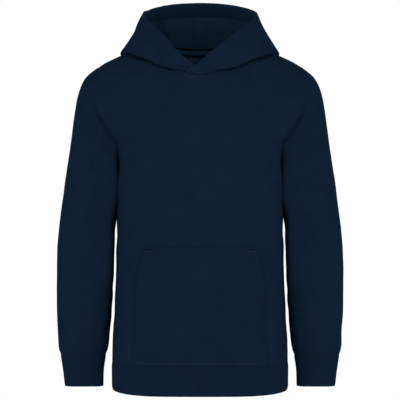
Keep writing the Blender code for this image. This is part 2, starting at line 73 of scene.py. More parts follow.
# Armhole: a closed curve from the shoulder point over the front to the armpit and back.
ARMHOLE_HALF_DEPTH = 0.047
ARMHOLE_BULGE = 0.0130
ARMHOLE_LEAN = 0.95
ARMHOLE_LEAN_POWER = 1.3
ARMHOLE_SQUARED = 0.26
ARMHOLE_FORWARD = 0.0040
ARMHOLE_DRAWN = 0.0083
ARMPIT_X = 0.106
ARMHOLE_BLEND = 4.0
ARMHOLE_FLARE = 7.0
ARMHOLE_MERGE = 3.0
SLEEVE_SEAM_GAP = 0.00032

# Grid
FINE_STEPS = 400
HALF_COLUMNS = 12
NECK_COLUMN = 6
ARMHOLE_ROWS = 10
RELAX_PASSES = 4

# The body below the armpits, a row for each level from the band's seam up: z, half width, reach
# to the front and to the back, and how squared it is.
BODY = (
    (BAND_SEAM_Z, 0.1088, 0.0740, 0.0700, 3.3),
    (-0.3590, 0.1081, 0.0755, 0.0705, 3.2),
    (-0.3320, 0.1066, 0.0768, 0.0705, 3.1),
    (-0.3060, 0.1052, 0.0775, 0.0705, 3.0),
    (-0.2850, 0.1044, 0.0778, 0.0710, 3.0),
    (-0.2645, 0.1038, 0.0778, 0.0715, 2.9),
    (-0.2440, 0.1035, 0.0778, 0.0722, 3.1),
    (-0.2200, 0.1031, 0.0776, 0.0730, 3.3),
    (-0.1960, 0.1030, 0.0772, 0.0738, 3.5),
    (-0.1720, 0.1037, 0.0766, 0.0745, 3.5),
    (-0.1480, 0.1049, 0.0758, 0.0748, 3.5),
    (ARMPIT_Z, 0.1060, 0.0748, 0.0745, 3.3),
)

# Hem band
BAND_HEIGHT = 0.0376
BAND_SIDE_RISE = 0.0045
BAND_SIDE_POWER = 5.0
BAND_FULLNESS = 0.0003
BAND_TURN_SHARE = 0.93
BAND_EDGE_DRAW = 0.0010
BAND_RIBS = 264
RIB_RISE = 0.000275

# Sleeves, a row for each section: x and z of its outer and of its inner point, how far it reaches
# to the front and back, how far its front and back points lie off the middle, and its depth y.
SLEEVE = (
    (0.1425, -0.0355, 0.1066, -0.1275, 0.0480, 0.0095, 0.0010, 0.0000),
    (0.1510, -0.0560, 0.1064, -0.1320, 0.0485, 0.0070, 0.0020, 0.0000),
    (0.1560, -0.0840, 0.1060, -0.1410, 0.0480, 0.0040, 0.0020, 0.0000),
    (0.1600, -0.1120, 0.1052, -0.1530, 0.0470, 0.0015, 0.0010, 0.0000),
    (0.1640, -0.1400, 0.1043, -0.1680, 0.0455, 0.0000, 0.0000, 0.0005),
    (0.1680, -0.1660, 0.1042, -0.1850, 0.0440, 0.0000, 0.0000, 0.0010),
    (0.1715, -0.1920, 0.1042, -0.2040, 0.0425, 0.0000, 0.0000, 0.0010),
    (0.1748, -0.2180, 0.1049, -0.2230, 0.0410, 0.0000, 0.0000, 0.0005),
    (0.1771, -0.2420, 0.1063, -0.2430, 0.0398, 0.0000, 0.0000, -0.0005),
    (0.1778, -0.2660, 0.1067, -0.2660, 0.0388, 0.0000, 0.0000, -0.0020),
    (0.1778, -0.2920, 0.1074, -0.2920, 0.0376, 0.0000, 0.0000, -0.0040),
    (0.1775, -0.3180, 0.1089, -0.3180, 0.0362, 0.0000, 0.0000, -0.0060),
    (0.1763, -0.3430, 0.1110, -0.3430, 0.0346, 0.0000, 0.0000, -0.0080),
    (0.1752, -0.3640, 0.1128, -0.3640, 0.0328, 0.0000, 0.0000, -0.0094),
    (0.1736, -0.3755, 0.1150, -0.3755, 0.0310, 0.0000, 0.0000, -0.0100),
)

# Cuffs, a row for each level: outer x, inner x, z and half depth.
CUFF = (
    (0.1727, 0.1160, -0.3758, 0.0290),
    (0.1696, 0.1190, -0.3950, 0.0262),
    (0.1671, 0.1197, -0.4156, 0.0248),
)
CUFF_Y = -0.0100
CUFF_RIBS = 72

# Kangaroo pocket, on the front panel's rows and columns.
POCKET_TOP_ROW = 6
POCKET_MOUTH_ROW = 3
POCKET_HALVES = (0.0800, 0.0770, 0.0675)
POCKET_FOOT_HALF = POCKET_HALVES[0]
POCKET_GAP = 0.0004
POCKET_FULLNESS = 0.0020
POCKET_SWELL = 0.5
POCKET_INNER_COLUMNS = 5

# Hood, a row for each direction round the neck, 0 at the front and 180 at the back. From the neck
# seam the cloth lies out over the shoulders to a fold, turns up, and rises to the opening's edge.
# After the azimuth: how high it stands over the seam, the fold (radius, z), the radius of its roll,
# and three more places (radius, z) on the way up, the last at the edge.
HOOD = (
    (-15, 0.000, 0.0643, -0.0318, 0.0028, 0.0646, -0.0310, 0.0650, -0.0300, 0.0655, -0.0288),
    (0, 0.000, 0.0645, -0.0335, 0.0028, 0.0655, -0.0300, 0.0665, -0.0255, 0.0668, -0.0212),
    (15, 0.000, 0.0650, -0.0300, 0.0028, 0.0664, -0.0255, 0.0674, -0.0160, 0.0654, -0.0064),
    (24, 0.000, 0.0710, -0.0262, 0.0028, 0.0712, -0.0205, 0.0688, -0.0090, 0.0641, 0.0022),
    (35, 0.000, 0.0748, -0.0230, 0.0028, 0.0746, -0.0165, 0.0692, -0.0010, 0.0625, 0.0115),
    (60, 0.000, 0.0820, -0.0100, 0.0028, 0.0802, -0.0034, 0.0720, 0.0130, 0.0640, 0.0265),
    (90, 0.001, 0.0980, -0.0034, 0.0028, 0.0890, 0.0090, 0.0785, 0.0265, 0.0717, 0.0440),
    (115, 0.003, 0.1030, -0.0130, 0.0045, 0.0995, 0.0030, 0.0850, 0.0300, 0.0700, 0.0530),
    (140, 0.006, 0.1100, -0.0560, 0.0070, 0.1120, -0.0150, 0.0910, 0.0330, 0.0665, 0.0603),
    (160, 0.008, 0.1120, -0.0950, 0.0085, 0.1190, -0.0300, 0.0925, 0.0360, 0.0660, 0.0637),
    (180, 0.009, 0.1080, -0.1080, 0.0090, 0.1200, -0.0380, 0.0925, 0.0370, 0.0660, 0.0650),
)
HOOD_START = -15.0
HOOD_END = 180.0
FOLD_FROM = 15.0
FOLD_TO = 30.0
HOOD_STEPS = 26
HOOD_LOWER_STEPS = 5
HOOD_ROLL_STEPS = 3
HOOD_UPPER_STEPS = 7
HOOD_CURVE_STEPS = 60
HOOD_SEAM_GAP_FRONT = 0.0006
HOOD_SEAM_GAP_SIDE = 0.0010
HOOD_LAID_GAP = 0.0012
LIFT_PASSES = 2
# How the cloth stands over the seam before it lies out: shares of the crest, out and up.
CREST_RISE = ((0.30, 0.75), (0.95, 1.00))
ROLL_IN = 1 - math.cos(math.pi / 4)
ROLL_UP = math.sin(math.pi / 4)
HOOD_HEM = 0.020
OVERLAP_FROM = 34.0
OVERLAP_TO = 18.0
OVERLAP_DEPTH = 0.0036
UNDER_DROP = 0.0040
# How far the opening's edge lies further out and down than its curve, by azimuth, on the wearer's
# left (1) and right (-1) half.
HOOD_EDGE_DROPS = {
    1: ((-8, 4, 10, 16, 26), (0, -0.0012, -0.0019, -0.0014, 0)),
    -1: ((-4, 5, 10, 16, 24, 34, 50, 66), (0, 0.0012, 0.0026, 0.0031, 0.0039, 0.0032, 0.0012, 0)),
}
HOOD_DROP_POWER = 1.4

# Neck tape
TAPE_BELOW = 0.0035
TAPE_ABOVE = 0.0065
TAPE_STEPS = 16
TAPE_GAP = 0.0005


def through(stations, values, at):
    """The smooth curve through a table's rows, read at other stations."""
    stations = np.asarray(stations, float)
    values = np.asarray(values, float)
    at = np.clip(np.asarray(at, float), stations[0], stations[-1])
    slopes = np.gradient(values, stations, axis=0)
    i = np.clip(np.searchsorted(stations, at) - 1, 0, len(stations) - 2)
    span = stations[i + 1] - stations[i]
    t = (at - stations[i]) / span
    wide = (-1,) + (1,) * (values.ndim - 1)
    t = t.reshape(wide)
    span = span.reshape(wide)
    start = (1 + 2 * t) * (1 - t) ** 2 * values[i] + t * (1 - t) ** 2 * span * slopes[i]
    end = t**2 * (3 - 2 * t) * values[i + 1] + t**2 * (t - 1) * span * slopes[i + 1]
    return start + end


def run(points):
    """The length along a polyline at each of its points."""
    return np.concatenate([[0], np.cumsum(np.linalg.norm(np.diff(points, axis=0), axis=1))])


def points_at(at, marks, points):
    """A polyline's points, read at other marks along it."""
    return np.stack([np.interp(at, marks, points[:, k]) for k in range(points.shape[1])], axis=1)


def along(points, steps):
    """A polyline's points, spaced evenly by length into that many steps."""
    marks = run(points)
    return points_at(np.linspace(0, marks[-1], steps + 1), marks, points)


def unit(vectors):
    return vectors / np.maximum(np.linalg.norm(vectors, axis=-1, keepdims=True), TINY)


def grid_normals(grid, around):
    """The normals of a grid of points, rows by columns."""
    if around:
        across = np.roll(grid, -1, axis=1) - np.roll(grid, 1, axis=1)
    else:
        across = np.gradient(grid, axis=1)
    return unit(np.cross(across, np.gradient(grid, axis=0)))


def mirrored(out, *grids):
    """Grids of a piece of the wearer's left (out 1), turned over for the right (out -1)."""
    return tuple(grid * np.array([out, 1, 1]) for grid in grids)


# Orders of a face's corners: as they come, two ways to turn a face over.
AS_THEY_COME = (0, 1, 2, 3)
TURNED_OVER = (1, 0, 3, 2)
OTHER_WAY_ROUND = (0, 3, 2, 1)


def quads(at):
    """The corners of each cell of a grid of point numbers."""
    return np.stack([at[:-1, :-1], at[:-1, 1:], at[1:, 1:], at[1:, :-1]], axis=-1).reshape(-1, 4)


def numbered(grid):
    """The number of each point of a grid."""
    return np.arange(grid[..., 0].size).reshape(grid.shape[:2])


def surface_of(*grids, turned_over=()):
    """Some grids of points as one surface to measure from, some of them turned over."""
    points = []
    faces = []
    for k, grid in enumerate(grids):
        corners = quads(numbered(grid)) + len(points)
        faces.extend((corners[:, OTHER_WAY_ROUND] if k in turned_over else corners).tolist())
        points.extend(grid.reshape(-1, 3).tolist())
    return BVHTree.FromPolygons(points, faces)


# ---------------------------------------------------------------- forms of the solids


def even_angles(half_width, reach, squareness):
    """Angles that divide a quarter of a squared ellipse evenly by length."""
    fine = np.linspace(0, math.pi / 2, FINE_STEPS)
    x = half_width * np.sin(fine) ** (2 / squareness)
    y = reach * np.cos(fine) ** (2 / squareness)
    marks = run(np.stack([x, y], axis=1))
    return np.interp(np.linspace(0, marks[-1], HALF_COLUMNS + 1), marks, fine)


CHEST_HALF_WIDTH, CHEST_REACH, _, CHEST_SQUARENESS = BODY[-1][1:]
ANGLES = even_angles(CHEST_HALF_WIDTH, CHEST_REACH, CHEST_SQUARENESS)
ARMHOLE_MIDDLE = np.array([(SHOULDER_X + ARMPIT_X) / 2, 0, (SHOULDER_Z + ARMPIT_Z) / 2])


def neck_point(azimuth):
    """A point of the neck seam, by its azimuth in radians, 0 at the front."""
    front = np.cos(azimuth) > 0
    reach = np.where(front, NECK_FRONT_REACH, NECK_BACK_REACH)
    end_z = np.where(front, NECK_FRONT_Z, NECK_BACK_Z)
    z = NECK_SIDE_Z + (end_z - NECK_SIDE_Z) * np.cos(azimuth) ** 2
    return np.stack([NECK_HALF_WIDTH * np.sin(azimuth), -reach * np.cos(azimuth), z], axis=-1)


def neck_edge(azimuth):
    """A point of the panels' faceted neck edge, by its azimuth in radians."""
    step = math.pi / 2 / NECK_COLUMN
    low = math.floor(azimuth / step + TINY)
    part = azimuth / step - low
    ends = neck_point(np.array([low * step, (low + 1) * step]))
    return ends[0] * (1 - part) + ends[1] * part


def top_edge(side):
    """The panel's top edge on one half, from the centre of the neck to the shoulder point."""
    centre = 0 if side < 0 else math.pi
    neck = neck_point(np.linspace(centre, math.pi / 2, NECK_COLUMN + 1))
    x = np.linspace(NECK_HALF_WIDTH, SHOULDER_X, HALF_COLUMNS - NECK_COLUMN + 1)[1:]
    out = x - NECK_HALF_WIDTH
    z = NECK_SIDE_Z - SHOULDER_SLOPE * out - SHOULDER_CURVE * out**2
    z[-1] = SHOULDER_Z
    return np.concatenate([neck, np.stack([x, np.zeros_like(x), z], axis=-1)])


def armhole_point(turn):
    """A point of the armhole seam, from the armpit (0) over the front to the shoulder (pi)."""
    rise, ahead = -np.cos(turn), np.sin(turn)
    low = np.clip(-rise, 0, 1)
    low_front = (rise < 0) & (ahead > 0)
    bulge = ARMHOLE_BULGE * (1 - ARMHOLE_LEAN * low**ARMHOLE_LEAN_POWER) * ahead**2
    drawn = ARMHOLE_DRAWN * np.sin(2 * turn) ** 2 * low**3 * low_front
    depth = ARMHOLE_HALF_DEPTH * np.abs(ahead) ** np.where(low_front, ARMHOLE_SQUARED, 1.0)
    depth = depth + ARMHOLE_FORWARD * np.sin(2 * turn) * low_front
    x = ARMHOLE_MIDDLE[0] + (SHOULDER_X - ARMPIT_X) / 2 * rise + bulge - drawn
    z = ARMHOLE_MIDDLE[2] + (SHOULDER_Z - ARMPIT_Z) / 2 * rise
    return np.stack([x, -np.sign(ahead) * depth, z], axis=-1)


def half_panel(side):
    """The outer points of half of the front (side -1) or back (side 1): rows up, centre to side."""
    rows = []
    for z, half_width, front, back, squareness in BODY:
        reach = front if side < 0 else back
        x = half_width * np.sin(ANGLES) ** (2 / squareness)
        depth = reach * np.clip(np.cos(ANGLES), 0, 1) ** (2 / squareness)
        depth[-1] = 0
        rows.append(np.stack([x, side * depth, np.full_like(x, z)], axis=-1))
    chest_x = rows[-1][:, 0]
    top = top_edge(side)
    top_depth = np.abs(top[:, 1])
    to_shoulder = np.clip(np.arange(HALF_COLUMNS + 1) / NECK_COLUMN, 0, 1) ** 2
    rounding = NECK_ROUND + (SHOULDER_ROUND - NECK_ROUND) * to_shoulder
    for k in range(1, ARMHOLE_ROWS + 1):
        turn = math.pi * k / ARMHOLE_ROWS
        edge = armhole_point(np.array(-side * turn))
        rise = (1 - math.cos(turn)) / 2
        share = (1 - rise) * chest_x / ARMPIT_X + rise * top[:, 0] / SHOULDER_X
        bulge = edge[0] - (1 - rise) * ARMPIT_X - rise * SHOULDER_X
        x = (1 - rise) * chest_x + rise * top[:, 0] + bulge * share**ARMHOLE_FLARE
        round_off = (1 - rise**SHOULDER_ROUND) ** (1 / rounding)
        below = reach * np.clip(1 - share**squareness, 0, 1) ** (1 / squareness)
        depth = top_depth + (below - top_depth) * round_off
        at_arm = np.abs(edge[1]) * share**ARMHOLE_BLEND
        depth = (depth**ARMHOLE_MERGE + at_arm**ARMHOLE_MERGE) ** (1 / ARMHOLE_MERGE)
        if k == ARMHOLE_ROWS:
            depth = top_depth
        z = ARMPIT_Z + (top[:, 2] - ARMPIT_Z) * rise
        rows.append(np.stack([x, side * depth, z], axis=-1))
    return np.array(rows)


def body_panel(side):
    """The outer and inner points of the front (side -1) or the back (side 1)."""
    half = half_panel(side)
    outer = np.concatenate([*mirrored(-1, half[:, :0:-1]), half], axis=1)
    pit = len(BODY) - 1
    for _ in range(RELAX_PASSES):
        aside = outer[pit - 1 : -1, :-2] + outer[pit - 1 : -1, 2:]
        above = outer[pit - 2 : -2, 1:-1] + outer[pit:, 1:-1]
        outer[pit - 1 : -1, 1:-1] = outer[pit - 1 : -1, 1:-1] / 2 + (aside + above) / 8
    normals = grid_normals(outer, around=False) * -side
    for edge, out in ((0, -1), (-1, 1)):
        normals[:pit, edge] = (out, 0, 0)
        normals[pit:, edge] = unit(outer[pit:, edge] - mirrored(out, ARMHOLE_MIDDLE)[0])
    flat = np.abs(np.arange(outer.shape[1]) - HALF_COLUMNS) >= NECK_COLUMN
    normals[-1, flat, 1] = 0
    normals[0, :, 2] = 0
    inner = outer - unit(normals) * FLEECE
    apart = np.array([0, side * SEAM_GAP / 2, 0])
    return outer + apart, inner + apart


def band_ring(wider, steps):
    """The ring of the lowest body section, anticlockwise from the front, spaced evenly."""
    _, half_width, front, back, squareness = BODY[0]
    turn = np.linspace(0, 2 * math.pi, 4 * FINE_STEPS + 1)
    across, ahead = np.sin(turn), np.cos(turn)
    reach = np.where(ahead > 0, front, back) + wider
    x = (half_width + wider) * np.sign(across) * np.abs(across) ** (2 / squareness)
    y = -reach * np.sign(ahead) * np.abs(ahead) ** (2 / squareness)
    return along(np.stack([x, y], axis=1), steps)[:-1]


def sleeve(out):
    """The outer and inner points of one sleeve, rows from the cuff seam up to the armhole."""
    turn = np.linspace(0, 2 * math.pi, 2 * ARMHOLE_ROWS + 1)[:-1]
    across, ahead = np.cos(turn)[:, None], np.sin(turn)[:, None]
    rings = []
    for outer_x, outer_z, inner_x, inner_z, half_depth, mid_x, mid_z, y in reversed(SLEEVE):
        far, near = np.array([outer_x, y, outer_z]), np.array([inner_x, y, inner_z])
        ring = (far + near) / 2 - across * ((far - near) / 2)
        ring = ring + ahead**2 * np.array([mid_x, 0, mid_z])
        rings.append(ring - ahead * np.array([0, half_depth, 0]))
    rings.append(armhole_point(turn) + np.array([SLEEVE_SEAM_GAP, 0, 0]))
    outer = np.array(rings)
    normals = grid_normals(outer, around=True)
    normals[-1] = unit(armhole_point(turn) - ARMHOLE_MIDDLE)
    normals[0, :, 2] = 0
    normals = unit(normals)
    centre = outer.mean(axis=1, keepdims=True)
    normals[:-1] *= np.sign(((outer - centre) * normals).sum(axis=2).mean())
    return mirrored(out, outer, outer - normals * FLEECE)


def hood_half(out, body):
    """The outer and inner points of a hood half; rows from the neck seam to the opening's edge."""
    table = np.array(HOOD, float)
    azimuths = np.linspace(HOOD_START, HOOD_END, HOOD_STEPS + 1)
    values = through(table[:, 0], table[:, 1:], azimuths)
    columns = [hood_profile(out, *level) for level in zip(azimuths, values)]
    outer, inner = np.array(columns).transpose(1, 2, 0, 3)
    fold = HOOD_LOWER_STEPS + HOOD_ROLL_STEPS - 1
    laid = (slice(0, fold + 1), azimuths > FOLD_FROM)
    lift = lift_clear(outer[laid], body)
    height = np.clip((np.arange(len(outer)) - fold) / (len(outer) - 1 - fold), 0, 1)
    drop = height[:, None] ** HOOD_DROP_POWER * np.interp(azimuths, *HOOD_EDGE_DROPS[out])
    for grid in (outer, inner):
        grid[laid] += lift
        grid[..., 0] += drop
        grid[..., 2] -= drop
        grid[:, -1, 0] = SEAM_GAP / 2
    return mirrored(out, outer, inner)


def hood_profile(out, degrees, row):
    """One section of the hood from the neck seam to the edge, as outer and inner points."""
    crest, fold_r, fold_z, roll, *above = row
    azimuth = math.radians(degrees)
    neck = neck_edge(azimuth)
    gap = HOOD_SEAM_GAP_SIDE if degrees > FOLD_TO else HOOD_SEAM_GAP_FRONT
    start = np.array([math.hypot(neck[0], neck[1]), neck[2] + gap])
    places = np.reshape([fold_r, fold_z, *above], (-1, 2))
    plain = np.concatenate([[start], places])
    path = folded_path(start, places, crest, roll)
    spread, marks = run(path), run(plain)
    plain = through(marks, plain, spread / spread[-1] * marks[-1])
    folded = np.clip((degrees - FOLD_FROM) / (FOLD_TO - FOLD_FROM), 0, 1)
    path = plain * (1 - folded) + path * folded
    step = np.gradient(path, axis=0)
    normal = unit(np.stack([step[:, 1], -step[:, 0]], axis=1))
    normal[1:-1] = unit(normal[:-2] + 2 * normal[1:-1] + normal[2:])
    if out < 0:
        under = np.clip((OVERLAP_FROM - degrees) / (OVERLAP_FROM - OVERLAP_TO), 0, 1)
        path = path - np.array([1, 0]) * under * OVERLAP_DEPTH
        path[:, 1] -= UNDER_DROP * under * np.linspace(0, 1, len(path)) ** 2
    turn = np.array([math.sin(azimuth), -math.cos(azimuth)])
    faces = (path, path - normal * FLEECE)
    return [np.concatenate([face[:, :1] * turn, face[:, 1:]], axis=1) for face in faces]


def folded_path(start, places, crest, roll):
    """A section that stands over the neck seam, lies out to the fold, turns and rises."""
    fold = places[0]
    stand = [start + crest * np.array(share) for share in CREST_RISE] if crest > SEAM_GAP else []
    lower = np.array([start, *stand, fold - roll])
    under = fold - roll * np.array([ROLL_IN, ROLL_UP])
    over = fold + roll * np.array([-ROLL_IN, ROLL_UP])
    upper = np.concatenate([[over], places[1:]])
    marks = run(upper)
    upper = through(marks, upper, np.linspace(0, marks[-1], HOOD_CURVE_STEPS))
    return np.concatenate([
        along(lower, HOOD_LOWER_STEPS), [under, fold], along(upper, HOOD_UPPER_STEPS)
    ])


def lift_clear(grid, body):
    """How far each point of a grid above its first row moves, so that it and the middles of the
    cells beside it lie clear of the body's cloth."""
    moved = grid.copy()
    for _ in range(LIFT_PASSES):
        for part in (0.0, 0.5):
            for r in range(1, len(grid)):
                for c in range(grid.shape[1]):
                    for near in (-1, 1):
                        side = min(max(c + near, 0), grid.shape[1] - 1)
                        for row in (r - 1, min(r + 1, len(grid) - 1)):
                            middle = (moved[r, side] + moved[row, c]) / 2
                            point = moved[r, c] * (1 - part) + middle * part
                            moved[r, c] += clear_of(point, body, HOOD_LAID_GAP)
    return moved - grid


def clear_of(point, body, gap):
    """How far a point moves to lie a gap clear of the body's cloth."""
    hit, normal, _, _ = body.find_nearest(Vector(point))
    height = (Vector(point) - hit).dot(normal)
    return np.array(normal * max(gap - height, 0.0))


def neck_tape():
    """The outer and inner points of the narrow tape inside the back neck, over the seam."""
    turns = np.linspace(math.pi / 2, 3 * math.pi / 2, TAPE_STEPS + 1)
    inward = np.stack([np.sin(turns), -np.cos(turns), np.zeros_like(turns)], axis=1)
    heights = (-TAPE_BELOW, (TAPE_ABOVE - TAPE_BELOW) / 2, TAPE_ABOVE)
    seam = neck_point(turns) + np.array([[[0, 0, height]] for height in heights])
    return seam - inward * (FLEECE + TAPE_GAP), seam - inward * (FLEECE + TAPE_GAP + TAPE)


# ---------------------------------------------------------------- fine cloth

# How many steps each cell of a solid's grid is divided into, and the steps beside its ends.
CLOSE_STEPS = (0.035, 0.075, 0.125)
BODY_FINE = 7
SLEEVE_FINE = 6
HOOD_FINE = 6
TAPE_FINE = 5
RIB_STEPS = 6
RIB_ROWS = 10
WRAP = 3

# Cut edges and seams
THREAD_LIFT = 0.00010
SEAM_MEET = 0.00016
ROUND_STEPS = 4
ROUND_OUT = 0.6
SEAM_DIP = 0.0004
SEAM_REACH = 0.0035
SEAM_GROOVE = 0.0003
SEAM_GROOVE_REACH = 0.0013
ARMPIT_DIP = 11.5
ARMPIT_WIDER = 0.7
ARMPIT_DIP_Z = -0.095
ARMPIT_DIP_REACH = 0.016
PUCKER = 0.00022
PUCKER_REACH = 0.0060
PUCKER_LENGTH = 0.0085
PUCKER_WANDER = 1.9
PUCKER_WANDER_RATE = 97
STITCH_DIP = 0.00028
STITCH_REACH = 0.0009
SWELL = 0.0004
SLOW_SHARE = 0.75

# Rows of stitches, by their distance from the edge beside them, and the furrows over the band.
BAND_ROWS = (0.0038,)
BAND_FURROWS = (0.0036, 0.0072)
CUFF_ROWS = (0.0016, 0.0048)
POCKET_ROWS = (0.0016, 0.0060)
MOUTH_ROWS = (0.0170, 0.0212)
HOOD_ROWS = (0.0188, 0.0226)
# The tape's rows carry the near-black overlock: painted shade along its edges.
TAPE_ROWS = (("low", 0.0021), ("top", 0.0003))

# Soft creases of the cloth, troughs between two low ridges. Across is measured along the cloth from
# the panel's centre line, round a sleeve from its underarm (the front first), and round the hood
# from the front; up is the height, or on the hood the distance from the opening's edge. A row has
# across and up of its two ends, its width and its depth.
SLEEVE_GIRTH = 0.24
HOOD_GIRTH = 0.28
CREASES = {
    "sleeve_right": (
        (0.000, -0.186, 0.045, -0.172, 0.0085, 0.0016),
        (0.002, -0.224, 0.052, -0.214, 0.0090, 0.0018),
        (0.225, -0.232, 0.180, -0.215, 0.0100, 0.0015),
        (0.004, -0.293, 0.046, -0.302, 0.0085, 0.0014),
        (0.000, -0.318, 0.040, -0.322, 0.0080, 0.0013),
        (0.232, -0.300, 0.190, -0.288, 0.0100, 0.0014),
        (0.110, -0.352, 0.070, -0.346, 0.0090, 0.0010),
    ),
    "sleeve_left": (
        (0.000, -0.182, 0.040, -0.170, 0.0090, 0.0015),
        (0.003, -0.221, 0.050, -0.211, 0.0090, 0.0018),
        (0.228, -0.226, 0.186, -0.212, 0.0100, 0.0014),
        (0.002, -0.297, 0.042, -0.304, 0.0080, 0.0013),
        (0.002, -0.326, 0.044, -0.332, 0.0085, 0.0014),
        (0.230, -0.308, 0.188, -0.294, 0.0100, 0.0014),
        (0.118, -0.349, 0.076, -0.345, 0.0090, 0.0010),
    ),
    "body_front": (
        (-0.150, -0.158, -0.104, -0.136, 0.0110, 0.0014),
        (0.150, -0.154, 0.106, -0.132, 0.0110, 0.0014),
        (-0.148, -0.232, -0.112, -0.224, 0.0100, 0.0010),
        (0.148, -0.226, 0.114, -0.219, 0.0100, 0.0010),
        (-0.146, -0.330, -0.118, -0.318, 0.0110, 0.0009),
        (0.146, -0.338, 0.116, -0.328, 0.0110, 0.0009),
    ),
    "body_back": (
        (-0.148, -0.166, -0.096, -0.140, 0.0120, 0.0017),
        (0.148, -0.160, 0.100, -0.134, 0.0120, 0.0016),
        (-0.080, -0.262, 0.030, -0.272, 0.0150, 0.0014),
        (-0.020, -0.304, 0.092, -0.292, 0.0150, 0.0013),
        (-0.110, -0.340, -0.040, -0.346, 0.0130, 0.0010),
    ),
    "hood_left": (
        (0.243, 0.040, 0.300, 0.037, 0.0080, 0.0018),
        (0.120, 0.030, 0.150, 0.085, 0.0110, 0.0012),
        (0.205, 0.045, 0.222, 0.110, 0.0130, 0.0018),
        (0.250, 0.060, 0.258, 0.130, 0.0120, 0.0014),
    ),
    "hood_right": (
        (0.240, 0.041, 0.300, 0.038, 0.0080, 0.0018),
        (0.160, 0.002, 0.172, 0.030, 0.0060, -0.0022),
        (0.222, 0.038, 0.238, 0.062, 0.0070, -0.0024),
        (0.112, 0.034, 0.140, 0.082, 0.0110, 0.0012),
        (0.196, 0.040, 0.216, 0.104, 0.0130, 0.0017),
        (0.246, 0.070, 0.252, 0.126, 0.0120, 0.0013),
    ),
}
RIDGE_SHARE = 0.35
RIDGE_AWAY = 1.9
END_FADE = 0.55


def even(count, factor, around=False):
    """Rows or columns of a grid with each cell divided evenly, and more beside its ends."""
    if around:
        return np.arange(count * factor) / factor
    inside = np.linspace(0, count - 1, (count - 1) * factor + 1)
    close = np.array(CLOSE_STEPS)
    return np.concatenate([inside[:1], close, inside[1:-1], count - 1 - close[::-1], inside[-1:]])


def finer(grid, factor, around=False):
    """A grid of points with its cells divided, along smooth curves through the points."""
    rows, columns = grid.shape[:2]
    stations = np.arange(columns)
    if around:
        grid = np.concatenate([grid[:, -WRAP:], grid, grid[:, :WRAP]], axis=1)
        stations = np.arange(-WRAP, columns + WRAP)
    across = through(stations, grid.transpose(1, 0, 2), even(columns, factor, around))
    return through(np.arange(rows), across.transpose(1, 0, 2), even(rows, factor))


def edge_first(grid, edge):
    """A grid seen from one of its edges, with that edge as its first row."""
    grid = grid.swapaxes(0, 1) if edge in ("left", "right") else grid
    return grid[::-1] if edge in ("top", "right") else grid


def edge_back(grid, edge):
    """A grid that was seen from one of its edges, as it was."""
    grid = grid[::-1] if edge in ("top", "right") else grid
    return grid.swapaxes(0, 1) if edge in ("left", "right") else grid


def meeting(outer, inner, edges):
    """Both faces of a cloth let out at the edges that are sewn, so that it meets its neighbour."""
    outer, inner = outer.copy(), inner.copy()
    for edge in edges:
        for grid in (outer, inner):
            rows = edge_first(grid, edge)
            rows[0] += unit(rows[0] - rows[1]) * SEAM_MEET
    return outer, inner


def edge_distances(grid):
    """How far each point of a grid lies from its edges, along the cloth."""
    up = np.linalg.norm(np.diff(grid, axis=0), axis=2)
    up = np.concatenate([np.zeros((1, up.shape[1])), np.cumsum(up, axis=0)])
    across = np.linalg.norm(np.diff(grid, axis=1), axis=2)
    across = np.concatenate([np.zeros((len(across), 1)), np.cumsum(across, axis=1)], axis=1)
    return {"low": up, "top": up[-1] - up, "left": across, "right": across[:, -1:] - across}


def crease_relief(piece, across, up):
    """How far the soft creases move each point of a piece outwards."""
    relief = np.zeros_like(up)
    points = np.stack([across, up], axis=-1)
    for *ends, width, depth in CREASES[piece]:
        start, end = np.reshape(ends, (2, 2))
        line = end - start
        part = np.clip((points - start) @ line / (line @ line), 0, 1)
        away = np.linalg.norm(points - start - part[..., None] * line, axis=-1) / width
        trough = np.exp(-(away**2)) - RIDGE_SHARE * np.exp(-((away - RIDGE_AWAY) ** 2))
        relief -= depth * trough * (1 - END_FADE * (2 * part - 1) ** 2)
    return relief


def smooth(share):
    return share**2 * (3 - 2 * share)


def away_from(distance):
    """A share that grows from an edge, where the cloth is held plain, to the free cloth."""
    return np.clip(distance / PLAIN_REACH, 0, 1)


def swell(points):
    """The slight unevenness of hanging cloth: a slow and a quick wave, in radians to the metre."""
    x, y, z = points[..., 0], points[..., 1], points[..., 2]
    slow = np.sin(x * 61 + 1.7 * np.sin(z * 37 + 0.6)) * np.sin(z * 49 + 1.3 * np.sin(y * 53))
    quick = np.sin(x * 143 + z * 71 + 2.1) * np.sin(z * 167 - x * 89 + y * 127)
    return SWELL * (SLOW_SHARE * slow + (1 - SLOW_SHARE) * quick)


def furrow(distance, depth, reach):
    """How far the cloth sinks at a distance from a line that draws it in."""
    return -depth * np.exp(-((distance / reach) ** 2))


def seam_relief(points, distance):
    """How the cloth dips and puckers towards a seam, and sinks the more beside the armpit."""
    armpit = -furrow(points[..., 2] - ARMPIT_DIP_Z, 1, ARMPIT_DIP_REACH)
    groove = SEAM_GROOVE * (1 + ARMPIT_DIP * armpit)
    dip = furrow(distance, SEAM_DIP, SEAM_REACH)
    dip += furrow(distance, groove, SEAM_GROOVE_REACH * (1 + ARMPIT_WIDER * armpit))
    turn = 2 * math.pi / PUCKER_LENGTH
    wander = PUCKER_WANDER * np.sin(points[..., 0] * PUCKER_WANDER_RATE)
    wave = np.sin(turn * (points[..., 0] + points[..., 2]) + wander)
    return dip + PUCKER * wave * np.exp(-distance / PUCKER_REACH)


def stitch_relief(distance, rows):
    """The furrow that each row of stitches pulls into the cloth."""
    return sum(furrow(distance - row, STITCH_DIP, STITCH_REACH) for row in rows)


def moved(outer, inner, relief):
    """Both faces of a cloth, moved outwards together."""
    shift = unit(outer - inner) * relief[..., None]
    return outer + shift, inner + shift


